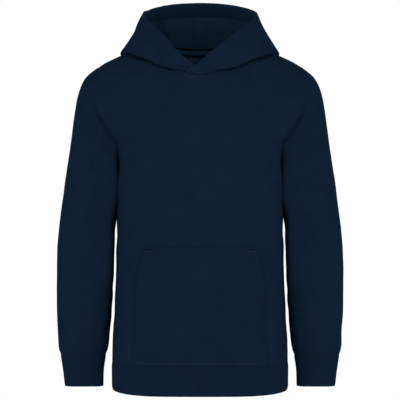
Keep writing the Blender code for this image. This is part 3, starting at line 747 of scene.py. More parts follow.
def rounded(outer, inner, edge):
    """Both faces of a cloth with one edge turned round, so that they meet at its middle."""
    outer, inner = edge_first(outer, edge), edge_first(inner, edge)
    middle, half = (outer[0] + inner[0]) / 2, (outer[0] - inner[0]) / 2
    depth = np.linalg.norm(half, axis=1, keepdims=True) * ROUND_OUT
    away = unit(outer[0] - outer[1]) * depth
    turns = np.linspace(math.pi / 2, 0, ROUND_STEPS + 1)[:-1]
    faces = []
    for sign, grid in ((1, outer), (-1, inner)):
        rows = [middle + sign * half * math.cos(t) + away * math.sin(t) for t in turns]
        faces.append(edge_back(np.concatenate([rows, grid]), edge))
    return faces


def cloth_uv(grid, around):
    """A map of a grid in metres along the cloth: across from the middle column, and up."""
    if around:
        grid = np.concatenate([grid, grid[:, :1]], axis=1)
    away = edge_distances(grid)
    middle = grid.shape[1] // 2
    return np.stack([away["left"] - away["left"][:, middle : middle + 1], away["low"]], axis=-1)


def cloth(name, outer, inner, around, finishes, hem_rows=0):
    """A closed cloth shell between two grids of points.

    The finishes are those of its outside, its inside, and the inside of a hem of some rows at its
    top.
    """
    at = numbered(outer)
    far = at + at.size
    if around:
        at, far = (np.concatenate([grid, grid[:, :1]], axis=1) for grid in (at, far))
    uv = cloth_uv(outer, around)
    place = numbered(uv)
    faces = [quads(at), quads(far)[:, ::-1]]
    maps = [quads(place), quads(place)[:, ::-1]]
    every = slice(None)
    rims = [(0, every, TURNED_OVER), (-1, every, AS_THEY_COME)]
    if not around:
        rims += [(every, 0, AS_THEY_COME), (every, -1, TURNED_OVER)]
    for row, column, order in rims:
        faces.append(quads(np.array([at[row, column], far[row, column]]))[:, order])
        maps.append(quads(np.array([place[row, column]] * 2))[:, order])
    finish_of = [np.full(len(part), k == 1, np.int32) for k, part in enumerate(faces)]
    cell_rows = np.repeat(np.arange(len(at) - 1), at.shape[1] - 1)
    finish_of[1] += cell_rows >= len(at) - 1 - hem_rows
    faces, maps = np.concatenate(faces), np.concatenate(maps)
    if (grid_normals(outer, around) * (outer - inner)).sum() < 0:
        faces, maps = faces[:, ::-1], maps[:, ::-1]
    mesh = bpy.data.meshes.new(name)
    points = np.concatenate([outer.reshape(-1, 3), inner.reshape(-1, 3)])
    mesh.from_pydata(points.tolist(), [], faces.tolist())
    layer = mesh.uv_layers.new(name="cloth")
    layer.data.foreach_set("uv", uv.reshape(-1, 2)[maps.ravel()].astype(np.float32).ravel())
    mesh.polygons.foreach_set("material_index", np.concatenate(finish_of))
    mesh.shade_smooth()
    mesh.set_sharp_from_angle(angle=math.radians(CREASE_ANGLE))
    for finish in finishes:
        mesh.materials.append(finish)
    return link(name, mesh)


def link(name, data):
    piece = bpy.data.objects.new(name, data)
    bpy.context.scene.collection.objects.link(piece)
    return piece


# ---------------------------------------------------------------- panels


PLAIN_REACH = 0.030
UNDER_HOOD_Z = -0.080
UNDER_HOOD_FROM = 0.0040
UNDER_HOOD_RAMP = 0.0030
UNDER_HOOD_DIP = 0.0060
UNDER_HOOD_REACH = 0.0020


def body_shell(name, side, hood):
    """The fine faces of the front (side -1) or the back (side 1), pressed in under the hood."""
    outer, inner = (finer(grid, BODY_FINE) for grid in body_panel(side))
    outer, inner = meeting(outer, inner, ("low", "top", "left", "right"))
    away = edge_distances(outer)
    middle = outer.shape[1] // 2
    across = away["left"] - away["left"][:, middle : middle + 1]
    sides = np.minimum(away["left"], away["right"])
    relief = swell(outer) * away_from(away["top"]) * away_from(sides)
    relief += crease_relief(name, across, outer[..., 2])
    relief += seam_relief(outer, np.minimum(sides, away["low"]))
    relief += stitch_relief(away["low"], BAND_FURROWS)
    for r, c in zip(*np.nonzero((outer[..., 2] > UNDER_HOOD_Z) & (away["top"] > UNDER_HOOD_FROM))):
        distance = hood.find_nearest(Vector(outer[r, c]))[3]
        free = min((away["top"][r, c] - UNDER_HOOD_FROM) / UNDER_HOOD_RAMP, 1.0)
        relief[r, c] += furrow(distance, UNDER_HOOD_DIP * free, UNDER_HOOD_REACH)
    return moved(outer, inner, relief)


PRESS = 0.0070
PRESS_INSIDE = (0.45, 0.80)
PRESS_HEIGHTS = (-0.300, -0.199, -0.183, -0.124, -0.108)
PRESS_SHARES = (0, 0.15, 1, 1, 0)
PRESS_GAP = 0.0004
PRESS_SIDEWAYS = 0.4
FLAT_HEIGHTS = (-0.365, -0.265, -0.100, -0.070)
FLAT_SHARES = (0, 1, 1, 0)
CORNER_HEIGHTS = (-0.275, -0.215)
CORNER_POWERS = (0.36, 0.25)


def sleeve_shell(name, out, body):
    """The fine faces of a sleeve, its underarm pressed to the body's side."""
    outer, inner = (finer(grid, SLEEVE_FINE, around=True) for grid in sleeve(out))
    shift = flattened(outer)
    outer, inner = evened(outer + shift, inner + shift)
    outer, inner = joined(outer, inner, armhole_line(out, outer.shape[1]))
    outer, inner = (drawn_straight(grid) for grid in (outer, inner))
    outer, inner = meeting(outer, inner, ("low", "top"))
    away = edge_distances(outer)
    ends = np.minimum(away["top"], away["low"])
    across = np.arange(outer.shape[1]) / outer.shape[1] * SLEEVE_GIRTH
    across = np.broadcast_to(across, outer.shape[:2])
    relief = crease_relief(name, across, outer[..., 2])
    relief += crease_relief(name, across - SLEEVE_GIRTH, outer[..., 2])
    relief += swell(outer) * away_from(ends)
    relief += seam_relief(outer, ends)
    relief += stitch_relief(away["low"], CUFF_ROWS)
    outer, inner = moved(outer, inner, relief)
    shift = pressed(outer, out, body)
    return outer + shift, inner + shift


def flattened(outer):
    """How far each point of a sleeve moves for a flat front and inner side."""
    turn = np.arange(outer.shape[1]) / outer.shape[1] * 2 * math.pi
    part = np.where(turn < math.pi / 2, turn, math.pi / 2)
    from_seam = len(SLEEVE) - even(len(SLEEVE) + 1, SLEEVE_FINE)
    share = smooth(np.interp(outer[..., 2], FLAT_HEIGHTS, FLAT_SHARES))
    share = share * np.clip(from_seam, 0, 1)[:, None]
    power = np.interp(outer[..., 2], CORNER_HEIGHTS, CORNER_POWERS)
    across, ahead = np.clip(np.cos(part), 0, 1), np.sin(part)
    to_underarm = (outer[:, :1] - outer[:, outer.shape[1] // 2, None]) / 2
    shift = to_underarm * ((across**power - across) * share)[..., None]
    reach = np.ptp(outer[..., 1], axis=1, keepdims=True) / 2
    shift[..., 1] -= reach * (ahead**power - ahead) * share
    return shift


def at_places(grid, at):
    """A closed ring's points, read between them."""
    ring = np.concatenate([grid, grid[:1]])
    return points_at(at, np.arange(len(ring)), ring)


def evened(outer, inner):
    """Both faces of a tube, with its columns spaced evenly round each ring."""
    rows = []
    for face, back in zip(outer, inner):
        marks = run(np.concatenate([face, face[:1]]))
        even_marks = np.linspace(0, marks[-1], len(marks))[:-1]
        at = np.interp(even_marks, marks, np.arange(len(marks)))
        rows.append((at_places(face, at), at_places(back, at)))
    return np.array(rows).transpose(1, 0, 2, 3)


def armhole_line(out, columns):
    """The body's armhole edge, from the armpit over the front and back, spaced evenly."""
    edge = -1 if out > 0 else 0
    above = even(len(BODY) + ARMHOLE_ROWS, BODY_FINE) >= len(BODY) - 1
    front, back = (
        [finer(grid, BODY_FINE)[above, edge] for grid in body_panel(side)] for side in (-1, 1)
    )
    loop = np.array([np.concatenate([up, down[::-1]]) for up, down in zip(front, back)])
    loop[..., 0] += out * SLEEVE_SEAM_GAP
    marks = run(loop[0])
    at = np.interp(np.linspace(0, marks[-1], columns + 1)[:-1], marks, np.arange(len(marks)))
    return at_places(loop[0], at), at_places(loop[1], at)


def joined(outer, inner, line):
    """Both faces of a sleeve, drawn on to the armhole over their last rows."""
    rows = even(len(SLEEVE) + 1, SLEEVE_FINE)
    share = smooth(np.clip(rows - len(SLEEVE) + 1, 0, 1))[:, None, None]
    return outer + share * (line[0] - outer[-1]), inner + share * (line[1] - inner[-1])


STRAIGHT_PASSES = 120
STRAIGHT_CELLS = (1.0, 2.5)
STRAIGHT_HEIGHTS = (-0.088, -0.068)


def drawn_straight(grid):
    """The low part of a sleeve below its seam, drawn straight from the seam down."""
    rows = even(len(SLEEVE) + 1, SLEEVE_FINE)
    before = ((rows[2:] - rows[1:-1]) / (rows[2:] - rows[:-2]))[:, None, None]
    share = np.interp(len(SLEEVE) - rows[1:-1], STRAIGHT_CELLS, (1, 0))[:, None]
    share = (share * smooth(np.interp(grid[1:-1, :, 2], STRAIGHT_HEIGHTS, (1, 0))))[..., None]
    grid = grid.copy()
    for _ in range(STRAIGHT_PASSES):
        between = grid[:-2] * before + grid[2:] * (1 - before)
        grid[1:-1] += share * (between - grid[1:-1])
    return grid


def pressed(outer, out, body):
    """How far each point of a sleeve's underarm moves to lie against the body's side."""
    low, high = outer[..., 0].min(axis=1), outer[..., 0].max(axis=1)
    inside = (outer[..., 0] - ((low + high) / 2)[:, None]) * -out / ((high - low) / 2)[:, None]
    near = smooth(np.clip(np.interp(inside, PRESS_INSIDE, (0, 1)), 0, 1))
    shift = np.zeros_like(outer)
    share = smooth(np.interp(outer[..., 2], PRESS_HEIGHTS, PRESS_SHARES))
    shift[..., 0] = -out * PRESS * share * near
    for r, c in zip(*np.nonzero((inside > 0) & (outer[..., 2] < PRESS_HEIGHTS[-1]))):
        point = Vector(outer[r, c] + shift[r, c])
        hit, normal, _, _ = body.find_nearest(point)
        if normal.x * out > PRESS_SIDEWAYS:
            shift[r, c] += np.array(normal * max(PRESS_GAP - (point - hit).dot(normal), 0.0))
    return shift


RIB_SHARPNESS = 1.6
SEAM_FLAT = 0.7
RIB_FLAT_REACH = 0.0018
CUFF_LENGTH = CUFF[0][2] - CUFF[-1][2]
CUFF_END_RISE = 0.0010


def rib_relief(steps, from_seam):
    """How far a rib knit stands out round a ring at some distance from its seam."""
    turn = 2 * math.pi * np.arange(steps) / RIB_STEPS
    flat = 1 - SEAM_FLAT * math.exp(-from_seam / RIB_FLAT_REACH)
    rise = RIB_RISE * np.tanh(RIB_SHARPNESS * np.cos(turn)) * flat
    return rise + furrow(from_seam, SEAM_DIP, SEAM_REACH)


def hem_shell():
    """The fine faces of the rib hem band, folded at its lower edge."""
    steps = RIB_STEPS * BAND_RIBS
    half_width = BODY[0][1]
    outer = []
    inner = []
    for below in np.linspace(1, SEAM_GAP / BAND_HEIGHT, RIB_ROWS):
        turned = np.clip((below - BAND_TURN_SHARE) / (1 - BAND_TURN_SHARE), 0, 1)
        full = BAND_FULLNESS * (1 - below / BAND_TURN_SHARE) * (turned == 0)
        wider = full - BAND_EDGE_DRAW * turned
        ring = band_ring(wider, steps)
        at_side = (np.abs(ring[:, :1]) / half_width) ** BAND_SIDE_POWER
        z = BAND_SEAM_Z - BAND_HEIGHT * below + BAND_SIDE_RISE * below * at_side
        ring = np.concatenate([ring, z], axis=1)
        step = np.roll(ring, -1, axis=0) - np.roll(ring, 1, axis=0)
        ring_out = unit(np.stack([step[:, 1], -step[:, 0], np.zeros(steps)], axis=1))
        rise = rib_relief(steps, BAND_HEIGHT * below - SEAM_GAP)
        outer.append(ring + ring_out * rise[:, None])
        inner.append(ring - ring_out * (RIB_CLOTH + wider))
    return rounded(*meeting(np.array(outer), np.array(inner), ("top",)), "low")


def cuff_shell(out):
    """The fine faces of a rib cuff, folded at its end."""
    steps = RIB_STEPS * CUFF_RIBS
    turn = 2 * math.pi * np.arange(steps) / steps
    table = np.array(CUFF[::-1])
    outer = []
    inner = []
    levels = through(table[:, 2], table, np.linspace(table[0, 2], table[-1, 2], RIB_ROWS))
    for outer_x, inner_x, level, half_depth in levels:
        half = (outer_x - inner_x) / 2
        from_seam = CUFF[0][2] - level
        for rings, grow in ((outer, rib_relief(steps, from_seam)), (inner, -RIB_CLOTH)):
            x = (outer_x + inner_x) / 2 - (half + grow) * np.cos(turn)
            y = CUFF_Y - (half_depth + grow) * np.sin(turn)
            z = level + CUFF_END_RISE * from_seam / CUFF_LENGTH * np.sin(turn) ** 2
            rings.append(np.stack([x, y, z], axis=1))
    faces = rounded(*meeting(np.array(outer), np.array(inner), ("top",)), "low")
    return mirrored(out, *faces)


POCKET_EDGE_STEPS = (0, 0.05, 0.12, 0.25, 0.45, 0.70)
POCKET_PINCH = 0.0010
POCKET_PINCH_REACH = 0.0045
POCKET_FURROW = 0.4
MARK_DIGITS = 6


def pocket_shell(panel):
    """The fine faces of the pocket, laid on the front's own points, its top and sides turned."""
    normals = grid_normals(panel, around=False)
    inner_columns = np.arange(-POCKET_INNER_COLUMNS, POCKET_INNER_COLUMNS + 1) + HALF_COLUMNS
    last = len(inner_columns) + 1
    dense = np.array(POCKET_EDGE_STEPS)
    between = np.linspace(1, last - 1, (last - 2) * BODY_FINE + 1)
    at_columns = np.unique(np.concatenate([dense, between, last - dense[::-1]]).round(MARK_DIGITS))
    across = np.sin(math.pi * at_columns / last)
    columns = np.arange(panel.shape[1])
    held = np.interp(inner_columns, even(2 * HALF_COLUMNS + 1, BODY_FINE), columns)
    panel_rows = even(len(BODY) + ARMHOLE_ROWS, BODY_FINE)
    at_rows = panel_rows[panel_rows <= POCKET_TOP_ROW]
    rows = []
    for r, line, normal in zip(at_rows, panel, normals):
        half = np.interp(r, (0, POCKET_MOUTH_ROW, POCKET_TOP_ROW), POCKET_HALVES)
        ends = np.interp((-half, half), line[:, 0], columns)
        at = np.interp(at_columns, np.arange(last + 1), (ends[0], *held, ends[1]))
        out = unit(points_at(at, columns, normal))
        up_mouth = max(r - POCKET_MOUTH_ROW, 0) / (POCKET_TOP_ROW - POCKET_MOUTH_ROW)
        full = np.maximum(across**POCKET_SWELL, math.sin(math.pi * up_mouth))
        full = POCKET_GAP + POCKET_FULLNESS * math.sin(math.pi * r / POCKET_TOP_ROW) * full
        rows.append((points_at(at, columns, line) + out * full[:, None], out))
    inner, outs = np.array(rows).transpose(1, 0, 2, 3)
    outer = inner + outs * FLEECE
    away = edge_distances(outer)
    sides = np.minimum(away["left"], away["right"])
    sewn = at_rows[:, None] <= POCKET_MOUTH_ROW
    relief = stitch_relief(away["top"], POCKET_ROWS)
    relief = relief + stitch_relief(sides, POCKET_ROWS) * sewn
    relief = relief + stitch_relief(sides, MOUTH_ROWS) * ~sewn
    relief = POCKET_FURROW * relief + stitch_relief(away["low"], BAND_FURROWS)
    pinch = np.where(sewn, np.minimum(sides, away["top"]), away["top"])
    relief = relief + furrow(pinch, POCKET_PINCH, POCKET_PINCH_REACH)
    outer = outer + outs * relief[..., None]
    for edge in ("top", "left", "right"):
        outer, inner = rounded(outer, inner, edge)
    return outer, inner


# ---------------------------------------------------------------- hood and tape


HOOD_HEM_ROWS = 12
HOOD_HEM_STEP = 0.0016
HOOD_HEM_STEP_AZIMUTHS = (0.0, 30.0)
HOOD_HEM_STEPS = (0.0, 0.0006)


def hood_shell(name, out, body):
    """The fine faces of a hood half, with the turned hem at its opening."""
    outer, inner = (finer(grid, HOOD_FINE) for grid in hood_half(out, body))
    outer, inner = meeting(outer, inner, ("right",))
    away = edge_distances(outer)
    columns = even(HOOD_STEPS + 1, HOOD_FINE)
    azimuth = np.interp(columns, (0, HOOD_STEPS), (HOOD_START, HOOD_END))
    across = np.broadcast_to(azimuth / HOOD_END * HOOD_GIRTH, outer.shape[:2])
    relief = crease_relief(name, across, away["top"]) * away_from(away["right"])
    relief += swell(outer) * away_from(away["low"] - PLAIN_REACH)
    relief += furrow(away["right"], SEAM_DIP, SEAM_REACH)
    outer, inner = hem_fitted(*moved(outer, inner, relief))
    step = np.interp(azimuth, HOOD_HEM_STEP_AZIMUTHS, HOOD_HEM_STEPS)[:, None]
    inner[-HOOD_HEM_ROWS:] -= unit(outer - inner)[-HOOD_HEM_ROWS:] * step
    return rounded(*rounded(outer, inner, "left"), "top")


def hem_fitted(outer, inner):
    """Both faces of a hood half, with one row moved to the inner edge of the turned hem."""
    outer, inner = outer.copy(), inner.copy()
    rows = np.arange(len(outer))
    step = len(outer) - 1 - HOOD_HEM_ROWS
    for c, up in enumerate(edge_distances(outer)["low"].T):
        marks = (0, up[step], up[step + 1], up[-1])
        places = (0, up[-1] - HOOD_HEM - HOOD_HEM_STEP, up[-1] - HOOD_HEM, up[-1])
        at = np.interp(np.interp(up, marks, places), up, rows)
        for grid in (outer, inner):
            grid[:, c] = points_at(at, rows, grid[:, c])
    return outer, inner


# Seam allowances, the sewn edges that lie on the inside of the cloth beside a seam.
ALLOWANCE_LIFT = 0.00015
# The distance from the seam, and the thickness there.
ALLOWANCE = (
    (-0.0001, 0.0006), (0.0012, 0.0007), (0.0030, 0.0008),
    (0.0048, 0.0008), (0.0058, 0.0007), (0.0064, 0.0005),
)


def allowance(outer, inner, edge, rows):
    """The faces of the sewn edge along one edge of a cloth, on the first rows of its inner face."""
    faces = []
    for share in (1, 0):
        lines = [
            beside(inner[:rows], outer[:rows], edge, place, lift=ALLOWANCE_LIFT + share * thick)
            for place, thick in ALLOWANCE
        ]
        faces.append(np.array(lines))
    return faces


# ---------------------------------------------------------------- stitches

STITCH_PITCH = 0.0030
STITCH_LENGTH = 0.0026
THREAD_RADIUS = 0.00020
STITCH_UNEVEN = 0.06
STITCH_SEED = 3
STITCH_SIDES = 6
STITCH_RINGS = 5
TACK_LENGTH = 0.0085
TACK_FROM_EDGE = 0.0034
CORNER_TACK_BELOW = 0.0030
CORNER_TACK_FROM = 0.0026
CORNER_TACK_LENGTH = 0.0080
TACK_POINTS = 6
ACROSS = math.pi / 2
TACKS = {"Pitch": 0.00055, "Stitch Length": 0.0024, "Turn": ACROSS}
# The corner tacks and the overlock go in the near-black thread, painted shade.
CORNER_TACKS = {"Pitch": 0.00055, "Stitch Length": 0.0014, "Turn": ACROSS}
FOOT_STITCHES = {"Thread Radius": 0.00030}
OVERLOCK = {"Pitch": 0.00075, "Stitch Length": 0.0026, "Thread Radius": 0.00042, "Turn": ACROSS}
POCKET_CLEAR = 0.001
STITCH_INPUTS = {
    "Pitch": STITCH_PITCH,
    "Stitch Length": STITCH_LENGTH,
    "Thread Radius": THREAD_RADIUS,
    "Turn": 0.0,
    "Unevenness": STITCH_UNEVEN,
}


def beside(outer, inner, edge, distance, keep=None, around=False, lift=THREAD_LIFT):
    """A line just over a cloth's outer face, at a distance from one of its edges."""
    away = edge_first(edge_distances(outer)[edge], edge)
    grid = edge_first(outer + unit(outer - inner) * lift, edge)
    columns = np.arange(grid.shape[1]) if keep is None else np.nonzero(keep)[0]
    line = [points_at([distance], away[:, c], grid[:, c])[0] for c in columns]
    return np.array(line + line[:1] if around else line)


def add_node(tree, kind, inputs=None, **settings):
    """A new node of a tree, with its inputs linked or set."""
    made = tree.nodes.new(kind)
    for key, value in settings.items():
        setattr(made, key, value)
    for key, value in (inputs or {}).items():
        value = getattr(value, "socket", value)
        if isinstance(value, bpy.types.NodeSocket):
            tree.links.new(value, made.inputs[key])
        else:
            made.inputs[key].default_value = value
    return made


def stitch_tree(name, finish):
    """Geometry nodes that set a stitch at each pitch along every line of a mesh of edges."""
    tree = bpy.data.node_groups.new(name, "GeometryNodeTree")
    face = tree.interface
    face.new_socket("Geometry", in_out="INPUT", socket_type="NodeSocketGeometry")
    for key, value in STITCH_INPUTS.items():
        face.new_socket(key, in_out="INPUT", socket_type="NodeSocketFloat").default_value = value
    seed = face.new_socket("Seed", in_out="INPUT", socket_type="NodeSocketInt")
    seed.default_value = STITCH_SEED
    face.new_socket("Geometry", in_out="OUTPUT", socket_type="NodeSocketGeometry")
    given = tree.nodes.new("NodeGroupInput").outputs
    radius = given["Thread Radius"]

    def node(kind, inputs=None, **settings):
        return add_node(tree, kind, inputs, **settings).outputs[0]

    def aligned(inputs, **settings):
        return node("FunctionNodeAlignRotationToVector", inputs, **settings)

    def rotated(rotation, by):
        inputs = {"Rotation": rotation, "Rotate By": by}
        return node("FunctionNodeRotateRotation", inputs, rotation_space="LOCAL")

    curve = node("GeometryNodeMeshToCurve", {"Mesh": given["Geometry"]})
    spaced = {"Curve": curve, "Length": given["Pitch"]}
    spaced = node("GeometryNodeResampleCurve", spaced, mode="LENGTH")
    lengthwise = aligned({"Vector": node("GeometryNodeInputTangent")}, axis="Z")
    facing = {"Rotation": lengthwise, "Vector": (0.0, -1.0, 0.0)}
    facing = aligned(facing, axis="Y", pivot_axis="Z")
    crossed = rotated(facing, node("ShaderNodeCombineXYZ", {"Y": given["Turn"]}))
    chance = node("FunctionNodeRandomValue", {"Seed": given["Seed"]}, data_type="FLOAT_VECTOR")
    centred = {0: chance, 1: (0.5, 0.5, 0.5)}
    centred = node("ShaderNodeVectorMath", centred, operation="SUBTRACT")
    spread = {0: centred, "Scale": given["Unevenness"]}
    spread = node("ShaderNodeVectorMath", spread, operation="SCALE")
    half_length = node("ShaderNodeMath", {0: given["Stitch Length"], 1: 0.5}, operation="MULTIPLY")
    size = node("ShaderNodeCombineXYZ", {"X": radius, "Y": radius, "Z": half_length})
    thread = {"Segments": STITCH_SIDES, "Rings": STITCH_RINGS, "Radius": 1.0}
    thread = node("GeometryNodeMeshUVSphere", thread)
    stitch = node("GeometryNodeTransform", {"Geometry": thread, "Scale": size})
    laid = {"Points": spaced, "Instance": stitch, "Rotation": rotated(crossed, spread)}
    laid = node("GeometryNodeInstanceOnPoints", laid)
    real = node("GeometryNodeRealizeInstances", {"Geometry": laid})
    shaded = node("GeometryNodeSetShadeSmooth", {"Geometry": real})
    coloured = node("GeometryNodeSetMaterial", {"Geometry": shaded, "Material": finish})
    add_node(tree, "NodeGroupOutput", {"Geometry": coloured})
    return tree


def stitched(name, lines, tree, **sizes):
    """A mesh of the stitches along lines of points."""
    points = np.concatenate(lines)
    starts = np.cumsum([0] + [len(line) for line in lines])
    edges = [(k, k + 1) for a, b in zip(starts, starts[1:]) for k in range(a, b - 1)]
    mesh = bpy.data.meshes.new(name + "_lines")
    mesh.from_pydata(points.tolist(), edges, [])
    holder = link(name + "_lines", mesh)
    rows = holder.modifiers.new("stitches", "NODES")
    rows.node_group = tree
    inputs = [item for item in tree.interface.items_tree if item.in_out == "INPUT"]
    keys = {item.name: item.identifier for item in inputs}
    for key, value in {**STITCH_INPUTS, **sizes, "Seed": len(points)}.items():
        rows[keys[key]] = value
    ready = holder.evaluated_get(bpy.context.evaluated_depsgraph_get())
    made = bpy.data.meshes.new_from_object(ready)
    made.name = name
    bpy.data.objects.remove(holder)
    return link(name, made)


# ---------------------------------------------------------------- finishes


class Value:
    """A number that varies over a surface, so that shader maths reads as Python."""

    def __init__(self, finish, socket):
        self.finish = finish
        self.socket = socket

    def maths(self, operation, *others):
        inputs = dict(enumerate((self, *others)))
        return self.finish.node("ShaderNodeMath", inputs, operation=operation)

    __add__ = partialmethod(maths, "ADD")
    __mul__ = partialmethod(maths, "MULTIPLY")
    __sub__ = partialmethod(maths, "SUBTRACT")
    __truediv__ = partialmethod(maths, "DIVIDE")
    sine = partialmethod(maths, "SINE")
    size = partialmethod(maths, "ABSOLUTE")
    part = partialmethod(maths, "FRACT")

    def __rsub__(self, other):
        return (self * -1) + other


class Finish:
    """A material whose nodes are made one by one."""

    def __init__(self, name, **constants):
        self.material = bpy.data.materials.new(name)
        self.material.use_nodes = True
        self.tree = self.material.node_tree
        self.shader = self.tree.nodes["Principled BSDF"]
        for key, value in constants.items():
            self.shader.inputs[key.replace("_", " ")].default_value = value

    def node(self, kind, inputs=None, output=0, **settings):
        return Value(self, add_node(self.tree, kind, inputs, **settings).outputs[output])

    def cloth_place(self):
        """How far across and up the cloth a point lies, in metres."""
        uv = self.node("ShaderNodeTexCoord", output="UV")
        return (self.node("ShaderNodeSeparateXYZ", {0: uv}, output=k) for k in (0, 1))

    def noise(self, kind):
        inputs = dict(zip(("Scale", "Detail", "Roughness"), NOISES[kind]))
        inputs["Vector"] = self.node("ShaderNodeTexCoord", output="Object")
        return self.node("ShaderNodeTexNoise", inputs)

    def surface(self, colours, share, roughness, height=None, bumps=()):
        """The colour between two by a share, the roughness, and bumps of a depth and a strength."""
        inputs = {"Factor": share, 6: colours[0], 7: colours[1]}
        mixed = self.node("ShaderNodeMix", inputs, output=2, data_type="RGBA", clamp_factor=True)
        given = {"Base Color": mixed, "Roughness": roughness}
        if bumps:
            inputs = dict(zip(("Height", "Distance", "Strength"), (height, *bumps)))
            given["Normal"] = self.node("ShaderNodeBump", inputs)
        for key, value in given.items():
            self.tree.links.new(value.socket, self.shader.inputs[key])
        return self.material


NAVY_COLOURS = ((0.0039, 0.0106, 0.0225, 1.0), (0.0066, 0.0174, 0.0378, 1.0))
# The knit face shown by the hood's turned hem, which really is darker than the brushed back,
# painted lighter than the same face outside: painted light that lifts the shaded inside of the
# hood. The neck tape uses the same colours.
HEM_COLOURS = ((0.0066, 0.0176, 0.0382, 1.0), (0.0111, 0.0289, 0.0637, 1.0))
# Sewing thread: navy painted lighter than the cloth, a painted sheen on the matt thread.
THREAD_SHEEN_COLOURS = (NAVY_COLOURS[1], (0.0090, 0.0236, 0.0500, 1.0))
# The pocket's foot stitches: thread painted lighter still, a painted highlight along the band's
# seam.
FOOT_HIGHLIGHT_COLOURS = (THREAD_SHEEN_COLOURS[1], (0.0150, 0.0390, 0.0820, 1.0))
# Near-black thread: painted shade, dark lines where shade falls along the neck tape's edges and at
# the pocket's top corners.
INK_SHADE_COLOURS = ((0.0012, 0.0032, 0.0072, 1.0), (0.0024, 0.0064, 0.0140, 1.0))
NAP_COLOURS = ((0.0079, 0.0204, 0.0436, 1.0), (0.0161, 0.0408, 0.0844, 1.0))
# Inside of the body, sleeves and pocket: the brushed back painted lighter than on the hood, painted
# light that lifts the shade inside the garment.
INSIDE_PAINTED_LIGHT_COLOURS = ((0.0134, 0.0347, 0.0741, 1.0), (0.0274, 0.0694, 0.1435, 1.0))
SHEEN_TINT = (0.12, 0.30, 0.60, 1.0)
WALE = 0.00125
COURSE = 0.00105
RIB_WALE = 0.00121
RIB_COURSE = 0.00100
TWILL_PITCH = 0.0011
TWILL_THREAD = 0.00055
MATT = {"Specular_IOR_Level": 0.0}
# Scale, detail and roughness.
NOISES = {
    "fuzz": (900.0, 3.0, 0.6),
    "mottle": (45.0, 3.0, 0.55),
    "melange": (420.0, 2.0, 0.5),
    "nap": (650.0, 4.0, 0.7),
    "tufts": (150.0, 3.0, 0.6),
    "twist": (1800.0, 2.0, 0.5),
}
# Depth and strength.
KNIT_BUMPS = (0.00022, 0.8)
NAP_BUMPS = (0.00045, 0.9)
TWILL_BUMPS = (0.00018, 0.8)
# The trees of stitches, their threads and the threads' colours.
THREADS = (
    # Plain rows: navy thread with a painted sheen.
    ("rows_of_stitches", "navy_sewing_thread_painted_sheen", THREAD_SHEEN_COLOURS),
    # Foot stitches: thread with a painted highlight.
    ("foot_stitches", "painted_highlight_navy_thread", FOOT_HIGHLIGHT_COLOURS),
    # Near-black overlock thread: painted shade.
    ("overlocked_edge_painted_shade", "painted_shade_overlock_thread", INK_SHADE_COLOURS),
)


def knit_height(finish, wale, course):
    """The face of a plain knit: columns of stitches, each a slanting pair of legs."""
    across, up = finish.cloth_place()
    from_middle = ((across / wale).part() - 0.5).size() * 2
    leg = (from_middle * math.pi).sine()
    stitch = ((up / course + from_middle * 0.5).part() * math.pi).sine()
    return leg * (stitch * 0.6 + 0.4)


def knit_face(name, colours, wale=WALE, course=COURSE):
    """The smooth outer face of the cloth, with a little fuzz."""
    finish = Finish(name, Sheen_Weight=0.02, Sheen_Roughness=0.5, Sheen_Tint=SHEEN_TINT, **MATT)
    height = knit_height(finish, wale, course)
    fuzz, mottle, melange = (finish.noise(kind) for kind in ("fuzz", "mottle", "melange"))
    # The colour darkens in the knit's low places, painted shade in the stitches' hollows, with
    # random mottle, melange and fuzz.
    share = height * 0.34 + (mottle - 0.5) * 0.6 + (melange - 0.5) * 0.7 + (fuzz - 0.5) * 0.3 + 0.33
    return finish.surface(colours, share, 0.96 - fuzz * 0.12, height * 0.7 + fuzz * 0.6, KNIT_BUMPS)


def brushed_back(name, colours):
    """The raised, napped inside of the cloth."""
    finish = Finish(name, Sheen_Weight=0.03, Sheen_Roughness=0.6, Sheen_Tint=SHEEN_TINT, **MATT)
    nap, tufts = finish.noise("nap"), finish.noise("tufts")
    share = nap * 0.5 + (tufts - 0.5) * 0.8 + 0.2
    return finish.surface(colours, share, nap * 0.05 + 0.94, nap + tufts * 0.6, NAP_BUMPS)


def sewing_thread(name, colours):
    finish = Finish(name, **MATT)
    twist = finish.noise("twist")
    return finish.surface(colours, twist, twist * 0.15 + 0.62)


def twill_tape(name):
    """A narrow woven tape with a diagonal weave."""
    finish = Finish(name, **MATT)
    across, up = finish.cloth_place()
    diagonal = (((across + up) / TWILL_PITCH).part() * math.pi).sine()
    threads = ((across / TWILL_THREAD).part() * math.pi).sine()
    weave = diagonal * 0.7 + threads * 0.3
    # The colour darkens in the weave's low places, painted shade between the threads.
    return finish.surface(HEM_COLOURS, weave * 0.6 + 0.2, 0.9 - weave * 0.1, weave, TWILL_BUMPS)


# ---------------------------------------------------------------- the garment

PANELS = ("front_panel", "back_panel")
